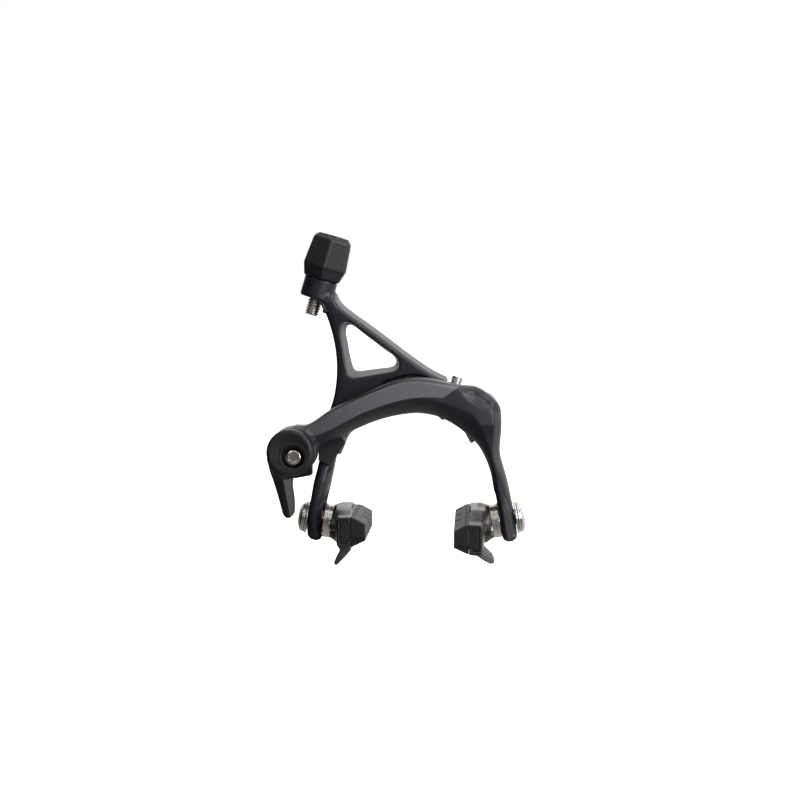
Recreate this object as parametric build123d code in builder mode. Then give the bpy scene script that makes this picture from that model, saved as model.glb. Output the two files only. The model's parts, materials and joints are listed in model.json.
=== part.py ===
from build123d import *
import os
from math import sin, cos, radians, pi

os.makedirs("parts", exist_ok=True)

# Dual-pivot rim brake caliper.
# X right, Y rearward (towards the fork), Z up; the fork face of the spacer is y = 0 and the
# mounting bolt axis runs through x = z = 0. All dimensions in millimetres.

# ---- mounting and pivots ---------------------------------------------------
stud_r = 3.0            # M6 mounting stud
stud_len = 22.0         # stud beyond the fork face
spacer_r = 7.0
spacer_t = 2.0
side_x, side_z = 24.5, -5.5   # outer arm pivot
side_pin_r = 3.5
hub_back = -7.3
bush_wall = 1.4
arm_front = -19.3       # inner arm front face
arm_back = -9.0         # inner arm back face
crown_front = -31.0     # outer arm front face
crown_back = -21.0      # outer arm back face
post_l = (-10.5, -3.0)  # spring posts
post_r = (12.0, -4.2)
wire_r = 0.9
coil_r = 3.3

# ---- barrel adjuster -------------------------------------------------------
bar_x, bar_y, bar_z = -33.25, -14.0, 38.40
bar_tilt = 16.3
bar_r = 2.5
boss_r = 5.9
knob_t0, knob_len = 3.6, 15.7
knob_profile = [(0, 7.2), (4.3, 8.7), (14.0, 7.7), (knob_len, 6.0)]   # height, corner radius
housing_r = 2.6         # cable housing, 5 mm

# ---- quick release ---------------------------------------------------------
eye_x, eye_z = -42.2, -18.6
eye_r = 8.5
eye_cx, eye_cz = -41.6, -18.9   # outside of the eye, slightly off the bore
head_r = 8.1
spindle_r = 5.9
ecc_x, ecc_z = 1.2, -2.0

# ---- pads ------------------------------------------------------------------
pad_y = -16.0
leg_x, leg_zl, leg_zr = 34.3, -44.15, -43.95
leg_half = 2.8
bolt_tilt = 9.3
slot_w = 6.4
slot_up, slot_down = 7.6, 1.6
pad_front, pad_rear = -41.0, 9.0

XZ = Plane.XZ           # normal points to -Y, local y is +Z


def at_y(y):
    return XZ.offset(-y)


def along_y(x, z, y):
    return Plane(origin=(x, y, z), x_dir=(1, 0, 0), z_dir=(0, -1, 0))


def pad_axis(side, s):
    # point and frame on the pad bolt axis; s grows inboard, side is -1 left, +1 right
    c, t = cos(radians(bolt_tilt)), sin(radians(bolt_tilt))
    z0 = leg_zl if side < 0 else leg_zr
    return Plane(origin=(side * (leg_x - s * c), pad_y, z0 - s * t),
                 x_dir=(0, 1, 0), z_dir=(-side * c, 0, -t))


bar_dir = (sin(radians(bar_tilt)), 0, cos(radians(bar_tilt)))


def bar_plane(t):
    return Plane(origin=(bar_x + t * bar_dir[0], bar_y, bar_z + t * bar_dir[2]),
                 x_dir=(bar_dir[2], 0, -bar_dir[0]), z_dir=bar_dir)


# the centring screw leans to the right at its head
scr_tilt = 18.0
scr_dir = (sin(radians(scr_tilt)), 0, cos(radians(scr_tilt)))
scr_x, scr_y, scr_z = 16.1, -14.0, 5.9


def scr_plane(t):
    return Plane(origin=(scr_x + t * scr_dir[0], scr_y, scr_z + t * scr_dir[2]),
                 x_dir=(scr_dir[2], 0, -scr_dir[0]), z_dir=scr_dir)


# ---- inner arm outlines ----------------------------------------------------
ia_top = [(-27.0, 36.2), (-26.0, 33.9), (-23.6, 31.3), (-18.5, 27.6), (-12.9, 23.6), (-7.6, 19.6),
          (-2.2, 15.5), (3.1, 11.7), (8.4, 8.4), (12.2, 6.6)]
ia_notch = [(12.2, 6.6), (12.8, 5.4), (11.9, 2.8), (10.2, 0.0), (9.9, -3.20)]
ia_tail = [(9.9, -3.20), (16.0, -5.18), (16.2, -7.0), (13.2, -8.9), (10.6, -8.8), (9.5, -7.3)]
ia_inner = [(9.5, -7.3), (4.8, -6.0), (0.0, -5.9), (-6.0, -6.0), (-13.0, -6.9), (-19.0, -9.5),
            (-23.6, -13.2), (-26.4, -18.5), (-28.2, -25.0), (-29.8, -31.5), (-30.9, -37.0),
            (-31.5, -42.0), (-31.7, -47.0), (-31.5, -49.6)]
ia_foot = [(-31.5, -49.6), (-32.5, -51.0), (-34.0, -51.35), (-35.9, -50.8), (-37.0, -49.4),
           (-37.2, -47.2)]
ia_left = [(-37.2, -47.2), (-36.8, -42.6), (-35.6, -36.0), (-34.3, -29.8), (-33.2, -24.2),
           (-32.4, -19.2), (-31.4, -13.0), (-29.9, -7.0), (-28.2, -2.0), (-27.1, 3.3),
           (-26.65, 10.0), (-27.3, 17.8), (-28.6, 23.6), (-30.2, 28.4), (-32.4, 33.2)]
win_near = [(-25.6, 23.0), (-24.5, 16.5), (-23.6, 11.2), (-22.4, 7.9), (-20.2, 6.4), (-16.0, 7.0),
            (-10.5, 8.2), (-6.2, 8.95), (-4.3, 10.6), (-4.4, 13.4), (-7.6, 16.2), (-13.0, 20.0),
            (-18.3, 23.9), (-21.8, 26.5), (-24.3, 26.5)]
win_far = [(-23.9, 22.6), (-22.9, 17.3), (-21.9, 13.2), (-20.9, 10.4), (-19.2, 9.2), (-15.4, 9.4),
           (-11.0, 9.8), (-7.8, 10.1), (-6.3, 11.3), (-6.7, 13.4), (-9.0, 15.5), (-13.4, 18.8),
           (-18.0, 22.3), (-21.1, 24.7), (-23.0, 24.8)]
# seen from the side (y, z): the inner arm widens towards its foot
ia_side = [(arm_back, 45), (arm_front, 45), (arm_front, -20.5), (-21.2, -24.5), (-22.7, -30), (-23.0, -36),
           (-23.0, -53), (-9.0, -53)]

# ---- outer arm outlines ----------------------------------------------------
oa_top = [(-40.6, -10.0), (-37.0, -9.7), (-33.3, -7.7), (-28.9, -4.6), (-21.8, -0.9), (-14.7, 2.4), (-7.6, 5.4),
          (-3.0, 6.7), (3.0, 7.15), (8.4, 6.5), (13.7, 5.25), (18.5, 4.45), (22.2, 4.2)]
oa_side = [(22.2, 4.2), (24.4, 3.35), (28.0, 0.8), (30.9, -2.3), (31.9, -6.5), (31.75, -13.4), (31.5, -19.6),
           (32.6, -24.6), (34.0, -29.6), (35.6, -37.0), (36.8, -42.8), (37.7, -48.2)]
oa_foot = [(37.7, -48.2), (37.6, -50.0), (36.4, -51.2), (34.6, -51.5), (33.0, -50.9), (32.2, -49.4)]
oa_inner = [(32.2, -49.4), (31.5, -44.5), (30.6, -39.1), (29.3, -32.8), (28.1, -26.5), (26.3, -21.6), (23.6, -16.8),
            (19.9, -13.0), (15.4, -9.6), (10.2, -6.8), (5.5, -5.5), (0.5, -5.5), (-5.7, -6.4),
            (-12.8, -8.4), (-19.8, -11.4), (-26.9, -14.8), (-32.2, -17.8), (-34.5, -20.2)]
# seen from the side (y, z): the right leg runs back to centre over the rim
oa_leg_side = [(crown_back, 9), (crown_front, 9), (crown_front, -9), (-29.6, -15), (-26.8, -22), (-24.4, -30),
               (-23.2, -38), (-23.0, -53), (-9.0, -53), (-9.0, -34), (-11.0, -27), (-15.0, -20),
               (-20.0, -14.5), (crown_back, -12.5)]

# ============================ inner arm =====================================
with BuildPart() as inner_arm:
    with BuildSketch(at_y(arm_back)):
        with BuildLine():
            Spline(*ia_top)
            Polyline(*ia_notch)
            Polyline(*ia_tail)
            Spline(*ia_inner)
            Polyline(*ia_foot)
            Spline(*ia_left)
            Line((-32.4, 33.2), (-27.0, 36.2))
        make_face()
    extrude(amount=16)
    # side profile gives the deeper foot
    with BuildSketch(Plane.YZ):
        with BuildLine():
            Polyline(*ia_side, close=True)
        make_face()
    extrude(amount=60, both=True, mode=Mode.INTERSECT)
    # barrel boss
    with BuildSketch(bar_plane(-3.9)):
        Circle(boss_r)
    extrude(amount=7.2)
    # hub
    with BuildSketch(at_y(hub_back)):
        Circle(5.8)
    extrude(amount=6)
    # tapered window
    with BuildSketch(at_y(arm_back + 1.0)):
        with BuildLine():
            Spline(*win_far, periodic=True)
        make_face()
    with BuildSketch(at_y(arm_front - 0.2)):
        with BuildLine():
            Spline(*win_near, periodic=True)
        make_face()
    loft(mode=Mode.SUBTRACT)
    # hub bore and front recess for the lock nut
    with BuildSketch(at_y(0)):
        Circle(stud_r + bush_wall)
    extrude(amount=30, mode=Mode.SUBTRACT)
    with BuildSketch(at_y(-16.6)):
        Circle(5.5)
    extrude(amount=10, mode=Mode.SUBTRACT)
    # threaded bore for the barrel
    with BuildSketch(bar_plane(-12)):
        Circle(bar_r + 0.05)
    extrude(amount=24, mode=Mode.SUBTRACT)
    # slot for the pad bolt
    with BuildSketch(pad_axis(-1, -8)):
        with Locations((0, (slot_up - slot_down) / 2)):
            SlotCenterToCenter(slot_up + slot_down, slot_w, rotation=90)
    extrude(amount=16, mode=Mode.SUBTRACT)
    for s0, amt in ((2.8, 6), (-2.8, -6)):
        with BuildSketch(pad_axis(-1, s0)):
            with Locations((0, (slot_up - slot_down) / 2)):
                SlotCenterToCenter(slot_up + slot_down, 12.8, rotation=90)
        extrude(amount=amt, mode=Mode.SUBTRACT)
inner_arm.part.label = "inner_arm"

with BuildPart() as inner_arm_bushing:
    with BuildSketch(at_y(hub_back)):
        Circle(stud_r + bush_wall)
        Circle(stud_r + 0.04, mode=Mode.SUBTRACT)
    extrude(amount=9.2)
inner_arm_bushing.part.label = "inner_arm_bushing"

# shoe that the spring leg pushes on, wrapped over the leg
with BuildPart() as spring_shoe_left:
    with BuildSketch(at_y(-7.6)):
        with BuildLine():
            Polyline((-32.9, -17.6), (-25.6, -13.2), (-23.4, -16.2), (-28.8, -24.8), (-33.1, -22.6), close=True)
        make_face()
    extrude(amount=13.0)
    with BuildSketch(at_y(-4.9)):
        with BuildLine():
            Polyline((-27.6, -14.9), (-25.6, -15.5), (-28.0, -21.5), (-30.0, -21.0), close=True)
        make_face()
    extrude(amount=4.3)
    # apron in front of the leg
    with BuildSketch(at_y(-19.6)):
        with BuildLine():
            Polyline((-32.0, -19.6), (-25.6, -19.6), (-28.85, -24.7), (-32.5, -22.35), close=True)
        make_face()
    extrude(amount=2.8)
    add(inner_arm.part, mode=Mode.SUBTRACT)
spring_shoe_left.part.label = "spring_shoe_left"

# small wire clip under the barrel boss
with BuildPart() as adjuster_clip:
    with BuildLine() as clip_path:
        Polyline((-32.6, -20.6, 33.6), (-31.4, -20.6, 32.6), (-30.6, -20.6, 30.4))
    with BuildSketch(Plane(origin=clip_path.line @ 0, z_dir=clip_path.line % 0)):
        Circle(0.55)
    sweep(transition=Transition.ROUND)
    with BuildSketch(at_y(-20.2)):
        with Locations((-30.6, 30.4)):
            Circle(0.9)
    extrude(amount=0.9, both=True)
    add(inner_arm.part, mode=Mode.SUBTRACT)
adjuster_clip.part.label = "adjuster_clip"

# ============================ barrel adjuster ===============================
with BuildPart() as adjuster_barrel:
    with BuildSketch(bar_plane(-10.0)):
        Circle(bar_r)
    extrude(amount=20)
    with BuildSketch(bar_plane(8.0)):
        Circle(3.9)
    extrude(amount=7.6)
    with BuildSketch(bar_plane(-10.0)):
        Circle(1.1)
    extrude(amount=30, mode=Mode.SUBTRACT)
    with BuildSketch(bar_plane(10.5)):
        Circle(3.15)
    extrude(amount=10, mode=Mode.SUBTRACT)
    chamfer(adjuster_barrel.edges().filter_by(GeomType.CIRCLE).filter_by(lambda e: abs(e.radius - bar_r) < 0.01)
            .sort_by(Axis.Z)[:1], length=0.5)
adjuster_barrel.part.label = "adjuster_barrel"

with BuildPart() as adjuster_knob:
    for i in range(len(knob_profile) - 1):
        for t, r in knob_profile[i:i + 2]:
            with BuildSketch(bar_plane(knob_t0 + t)):
                RegularPolygon(radius=r, side_count=6, rotation=30)
        loft()
    # seat for the threaded barrel and opening for the cable housing
    with BuildSketch(bar_plane(0)):
        Circle(bar_r)
    extrude(amount=30, mode=Mode.SUBTRACT)
    with BuildSketch(bar_plane(8.0)):
        Circle(3.9)
    extrude(amount=14, mode=Mode.SUBTRACT)
adjuster_knob.part.label = "adjuster_knob"

# cup that holds the end of the cable housing; it does not turn
with BuildPart() as housing_seat:
    with BuildSketch(bar_plane(10.6)):
        Circle(3.1)
    extrude(amount=5.05)
    with BuildSketch(bar_plane(15.65)):
        Circle(3.7)
    extrude(amount=1.2)
    with BuildSketch(bar_plane(11.4)):
        Circle(housing_r)
    extrude(amount=10, mode=Mode.SUBTRACT)
    with BuildSketch(bar_plane(10)):
        Circle(0.9)
    extrude(amount=10, mode=Mode.SUBTRACT)
housing_seat.part.label = "housing_seat"

# ============================ outer arm =====================================
# right leg block with its side profile
with BuildPart() as outer_leg:
    with BuildSketch(at_y(0)):
        with BuildLine():
            Polyline((15.4, -9.6), (15.4, 4.8), (18.5, 4.45), (22.2, 4.2))
            Spline(*oa_side)
            Polyline(*oa_foot)
            Spline(*oa_inner[:9])
        make_face()
    extrude(amount=34)
    with BuildSketch(Plane.YZ):
        with BuildLine():
            Polyline(*oa_leg_side, close=True)
        make_face()
    extrude(amount=60, both=True, mode=Mode.INTERSECT)

with BuildPart() as outer_arm:
    # arch
    with BuildSketch(at_y(crown_back)):
        with BuildLine():
            Spline(*oa_top)
            Polyline((22.2, 4.2), (22.2, -15.0))
            Polyline((22.2, -15.0), (19.9, -13.0))
            Spline(*oa_inner[7:])
            Polyline((-34.5, -20.2), (-40.0, -22.0), (-40.6, -10.0))
        make_face()
    extrude(amount=crown_back - crown_front)
    add(outer_leg.part)
    # eye for the quick-release spindle
    with BuildSketch(along_y(eye_cx, eye_cz, -18.2)):
        Circle(eye_r)
    extrude(amount=12.6)
    # boss back to the side pivot
    with BuildSketch(along_y(side_x, side_z, hub_back)):
        Circle(6.4)
    extrude(amount=15)
    # lug that carries the centring screw
    with BuildSketch(scr_plane(-2.0)):
        Rectangle(5.4, 9.0)
    extrude(amount=-5.2)
    with BuildSketch(at_y(-17.6)):
        with BuildLine():
            Polyline((13.2, 3.6), (12.0, -0.2), (17.6, -2.2), (19.0, 3.4), close=True)
        make_face()
    extrude(amount=5)
    # bores
    with BuildSketch(along_y(eye_x, eye_z, -10)):
        Circle(spindle_r + 0.06)
    extrude(amount=30, mode=Mode.SUBTRACT)
    with BuildSketch(along_y(side_x, side_z, 0)):
        Circle(side_pin_r + 1.2)
    extrude(amount=27.5, mode=Mode.SUBTRACT)
    with BuildSketch(scr_plane(4)):
        Circle(2.0 + 0.04)
    extrude(amount=-20, mode=Mode.SUBTRACT)
    # pad bolt slot
    with BuildSketch(pad_axis(1, -8)):
        with Locations((0, -(slot_up - slot_down) / 2)):
            SlotCenterToCenter(slot_up + slot_down, slot_w, rotation=90)
    extrude(amount=16, mode=Mode.SUBTRACT)
    for s0, amt in ((2.8, 6), (-2.8, -6)):
        with BuildSketch(pad_axis(1, s0)):
            with Locations((0, -(slot_up - slot_down) / 2)):
                SlotCenterToCenter(slot_up + slot_down, 12.8, rotation=90)
        extrude(amount=amt, mode=Mode.SUBTRACT)
outer_arm.part.label = "outer_arm"

with BuildPart() as outer_arm_bushing:
    with BuildSketch(along_y(side_x, side_z, hub_back)):
        Circle(side_pin_r + 1.2)
        Circle(side_pin_r + 0.04, mode=Mode.SUBTRACT)
    extrude(amount=19.6)
outer_arm_bushing.part.label = "outer_arm_bushing"

with BuildPart() as centring_screw:
    with BuildSketch(scr_plane(0)):
        Circle(2.0)
    extrude(amount=-10.12)
    with BuildSketch(scr_plane(0.9)):
        Circle(1.9)
    extrude(amount=-0.9)
    with BuildSketch(scr_plane(0.9)):
        RegularPolygon(radius=1.15, side_count=6)
    extrude(amount=-2.2, mode=Mode.SUBTRACT)
    chamfer(centring_screw.edges().filter_by(GeomType.CIRCLE).sort_by(Axis.Z)[:1], length=0.5)
centring_screw.part.label = "centring_screw"

with BuildPart() as spring_shoe_right:
    with BuildSketch(at_y(-4.9)):
        with BuildLine():
            Polyline((20.7, -12.6), (23.3, -12.7), (26.4, -17.2), (25.2, -19.0), (23.2, -17.0), close=True)
        make_face()
    extrude(amount=18.5)
    add(outer_arm.part, mode=Mode.SUBTRACT)
spring_shoe_right.part.label = "spring_shoe_right"

# ============================ root pieces ===================================
with BuildPart() as centre_bolt:
    with BuildSketch(at_y(stud_len)):
        Circle(stud_r)
    extrude(amount=stud_len + 20.0)
    # flange that clamps the bracket
    with BuildSketch(at_y(-4.7)):
        Circle(4.7)
    extrude(amount=1.9)
    chamfer(centre_bolt.edges().filter_by(GeomType.CIRCLE).sort_by(Axis.Y)[-1:], length=0.6)
    chamfer(centre_bolt.edges().filter_by(GeomType.CIRCLE).sort_by(Axis.Y)[:1], length=0.5)
    with BuildSketch(at_y(0)):
        Circle(4.0)
        Circle(2.6, mode=Mode.SUBTRACT)
    extrude(amount=1.2, mode=Mode.SUBTRACT)
    with BuildSketch(at_y(-20.0)):
        RegularPolygon(radius=1.5, side_count=6)
    extrude(amount=-2.5, mode=Mode.SUBTRACT)
centre_bolt.part.label = "centre_bolt"

with BuildPart() as pivot_nut:
    with BuildSketch(at_y(-17.4)):
        RegularPolygon(radius=5.0, side_count=6)
        Circle(stud_r, mode=Mode.SUBTRACT)
    extrude(amount=2.4)
pivot_nut.part.label = "pivot_nut"

with BuildPart() as thrust_washers:
    with BuildSketch(at_y(-6.65)):
        Circle(4.9)
        Circle(stud_r, mode=Mode.SUBTRACT)
    extrude(amount=0.55)
    with BuildSketch(at_y(-16.7)):
        Circle(4.9)
        Circle(stud_r, mode=Mode.SUBTRACT)
    extrude(amount=0.65)
thrust_washers.part.label = "thrust_washers"

with BuildPart() as spacer_washer:
    with BuildSketch(at_y(0)):
        Circle(spacer_r)
        Circle(stud_r, mode=Mode.SUBTRACT)
    extrude(amount=spacer_t)
    # shallow hollow to match a round fork crown
    with BuildSketch(Plane.XY.offset(-12)):
        with Locations((0, 16.0)):
            Circle(16.6)
    extrude(amount=24, mode=Mode.SUBTRACT)
spacer_washer.part.label = "spacer_washer"

with BuildPart() as pivot_bracket:
    with BuildSketch(at_y(-2.0)):
        with Locations((0, 0)):
            Circle(6.3)
        with Locations((side_x, side_z)):
            Circle(6.4)
        with Locations(post_l):
            Circle(4.0)
        with BuildLine():
            Polyline((-11.3, 0.9), (1.0, 6.7), (25.8, 0.75), (23.2, -11.75), (12.0, -7.4), (0, -6.2), (-10.4, -6.8),
                     close=True)
        make_face()
    extrude(amount=2.6)
    with BuildSketch(along_y(side_x, side_z, -4.6)):
        Circle(6.2)
    extrude(amount=2.2)
    for px, pz in (post_l, post_r):
        with BuildSketch(along_y(px, pz, -4.6)):
            Circle(2.1)
        extrude(amount=3.5)
    with BuildSketch(at_y(0)):
        Circle(stud_r)
    extrude(amount=10, mode=Mode.SUBTRACT)
    with BuildSketch(along_y(side_x, side_z, 0)):
        Circle(side_pin_r)
    extrude(amount=10, mode=Mode.SUBTRACT)
pivot_bracket.part.label = "pivot_bracket"

with BuildPart() as side_pivot_pin:
    with BuildSketch(along_y(side_x, side_z, -2.0)):
        Circle(side_pin_r)
    extrude(amount=24.6)
    with BuildSketch(along_y(side_x, side_z, -0.6)):
        Circle(5.0)
    extrude(amount=1.4)
    with BuildSketch(along_y(side_x, side_z, -0.6)):
        RegularPolygon(radius=2.3, side_count=6)
    extrude(amount=2.6, mode=Mode.SUBTRACT)
    chamfer(side_pivot_pin.edges().filter_by(GeomType.CIRCLE).sort_by(Axis.Y)[:1], length=0.6)
side_pivot_pin.part.label = "side_pivot_pin"

# ---- return spring ---------------------------------------------------------


def coil_points(p, y0, y1, a0, a1, n):
    # points along one coil, from angle a0 to a1 (degrees, from +X towards +Z)
    out = []
    for i in range(n + 1):
        f = i / n
        a = radians(a0 + (a1 - a0) * f)
        out.append((p[0] + coil_r * cos(a), y0 + (y1 - y0) * f, p[1] + coil_r * sin(a)))
    return out


coil_turn = 306.0
coil_y0, coil_y1 = -5.6, -7.35
left_coil = coil_points(post_l, coil_y1, coil_y0, -90 - coil_turn, -90, 16)
right_coil = coil_points(post_r, coil_y0, coil_y1, -90, -90 + coil_turn, 16)
with BuildPart() as spring_centre:
    with BuildLine() as spring_path:
        Spline(*left_coil, (-5.8, coil_y0, -6.15), (0.5, coil_y0, -6.05), (6.6, coil_y0, -6.75), *right_coil)
    with BuildSketch(Plane(origin=spring_path.line @ 0, z_dir=spring_path.line % 0)):
        Circle(wire_r)
    sweep(path=spring_path.line)
spring_centre.part.label = "spring_centre"

leg_wire_l = [(-8.71, -7.35, -5.77), (-13.0, -7.3, -7.7), (-17.5, -7.0, -9.7), (-21.3, -6.6, -12.2), (-23.7, -6.3, -14.6),
              (-24.8, -6.2, -17.0), (-26.8, -6.2, -21.9)]
with BuildPart() as spring_leg_left:
    with BuildLine() as ll:
        Spline(*leg_wire_l)
    with BuildSketch(Plane(origin=ll.line @ 0, z_dir=ll.line % 0)):
        Circle(wire_r)
    sweep(path=ll.line)
spring_leg_left.part.label = "spring_leg_left"

leg_wire_r = [(10.2, -7.35, -6.97), (13.5, -7.3, -8.5), (16.6, -7.0, -10.4), (19.0, -6.6, -12.6), (20.5, -6.3, -15.0),
              (21.8, -6.2, -17.6)]
with BuildPart() as spring_leg_right:
    with BuildLine() as lr:
        Spline(*leg_wire_r)
    with BuildSketch(Plane(origin=lr.line @ 0, z_dir=lr.line % 0)):
        Circle(wire_r)
    sweep(path=lr.line)
spring_leg_right.part.label = "spring_leg_right"

# ============================ quick release =================================
lever_outline_l = [(-50.0, -20.9), (-49.4, -24.0), (-47.6, -30.0), (-45.9, -35.7), (-44.7, -40.2)]
lever_tip = [(-44.7, -40.2), (-43.6, -41.5), (-42.6, -41.7), (-41.2, -40.9), (-40.6, -39.6)]
lever_outline_r = [(-40.6, -39.6), (-40.6, -35.7), (-41.0, -32.1), (-41.2, -28.9), (-40.4, -26.2)]
with BuildPart() as release_lever:
    with BuildSketch(along_y(eye_x, eye_z, -31.0)):
        Circle(head_r)
    extrude(amount=5.3)
    with BuildSketch(at_y(-31.6)):
        with BuildLine():
            Spline(*lever_outline_l)
            Polyline(*lever_tip)
            Spline(*lever_outline_r)
            Polyline((-40.4, -26.2), (-42.0, -19.0), (-50.0, -20.9))
        make_face()
    extrude(amount=4.2)
    with BuildSketch(along_y(eye_x + ecc_x, eye_z + ecc_z + 0.5, -30)):
        Circle(4.1)
    extrude(amount=10, mode=Mode.SUBTRACT)
release_lever.part.label = "release_lever"

with BuildPart() as release_spindle:
    with BuildSketch(along_y(eye_x, eye_z, -17.7)):
        Circle(spindle_r)
    extrude(amount=13.3)
    with BuildSketch(along_y(eye_x + ecc_x, eye_z + ecc_z, -10)):
        Circle(2.96)
    extrude(amount=30, mode=Mode.SUBTRACT)
release_spindle.part.label = "release_spindle"

with BuildPart() as spindle_ring:
    with BuildSketch(along_y(eye_x, eye_z, -17.75)):
        Circle(6.9)
        Circle(spindle_r, mode=Mode.SUBTRACT)
    extrude(amount=0.4)
spindle_ring.part.label = "spindle_ring"

bolt_x, bolt_z = eye_x + ecc_x, eye_z + ecc_z
with BuildPart() as anchor_bolt:
    with BuildSketch(along_y(bolt_x, bolt_z, -8.6)):
        Circle(2.9)
    extrude(amount=25.4)
    with BuildSketch(along_y(bolt_x, bolt_z, -34.0)):
        RegularPolygon(radius=1.75, side_count=6)
    extrude(amount=-3.0, mode=Mode.SUBTRACT)
    chamfer(anchor_bolt.edges().filter_by(GeomType.CIRCLE).sort_by(Axis.Y)[:1], length=0.5)
    chamfer(anchor_bolt.edges().filter_by(GeomType.CIRCLE).sort_by(Axis.Y)[-1:], length=0.5)
anchor_bolt.part.label = "anchor_bolt"

# clamp plate with the groove the cable would lie in
with BuildPart() as cable_clamp_plate:
    with BuildSketch(at_y(-13.4)):
        with BuildLine():
            Polyline((-46.6, -15.6), (-37.0, -15.6), (-35.6, -17.2), (-35.6, -27.6), (-37.0, -29.4), (-44.4, -30.2),
                     (-46.6, -27.6), close=True)
        make_face()
    extrude(amount=3.8)
    with BuildSketch(along_y(bolt_x, bolt_z, -10)):
        Circle(2.9)
    extrude(amount=10, mode=Mode.SUBTRACT)
    with BuildSketch(Plane.XY.offset(-32)):
        with Locations((bolt_x - 4.0, -13.4)):
            Rectangle(1.7, 1.5)
    extrude(amount=20, mode=Mode.SUBTRACT)
cable_clamp_plate.part.label = "cable_clamp_plate"

with BuildPart() as anchor_nut:
    with BuildSketch(along_y(bolt_x, bolt_z, -9.4)):
        RegularPolygon(radius=5.6, side_count=6)
        Circle(2.9, mode=Mode.SUBTRACT)
    extrude(amount=3.0)
    with BuildSketch(along_y(bolt_x, bolt_z, -12.4)):
        Circle(6.0)
        Circle(2.9, mode=Mode.SUBTRACT)
    extrude(amount=0.98)
anchor_nut.part.label = "anchor_nut"

# ============================ pad units =====================================
# cross-sections are drawn for the left pad (x, z relative to the pad centre) and mirrored
pad_cx = -20.6            # mouth of the holder
pad_cz = {-1: -46.6, 1: -47.6}
rib_h = {-1: 7.9, 1: 8.6}
screw_y, screw_z = -30.0, {-1: -44.8, 1: -46.4}   # screw that holds the insert
pad_pitch = {-1: -1.6, 1: 1.7}    # each shoe is turned slightly about its bolt
wing = {-1: [(-24.9, -5.25), (-21.0, -5.25), (-21.0, -6.7), (-22.8, -8.8), (-24.8, -10.9), (-25.9, -12.0),
             (-26.6, -11.2), (-25.5, -8.9), (-24.4, -6.9)],
        1: [(-25.0, -5.25), (-21.4, -5.25), (-23.7, -6.5), (-26.2, -8.3), (-28.1, -9.4), (-29.1, -9.4),
            (-29.4, -8.5), (-28.7, -7.3), (-26.6, -6.1)]}

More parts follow.
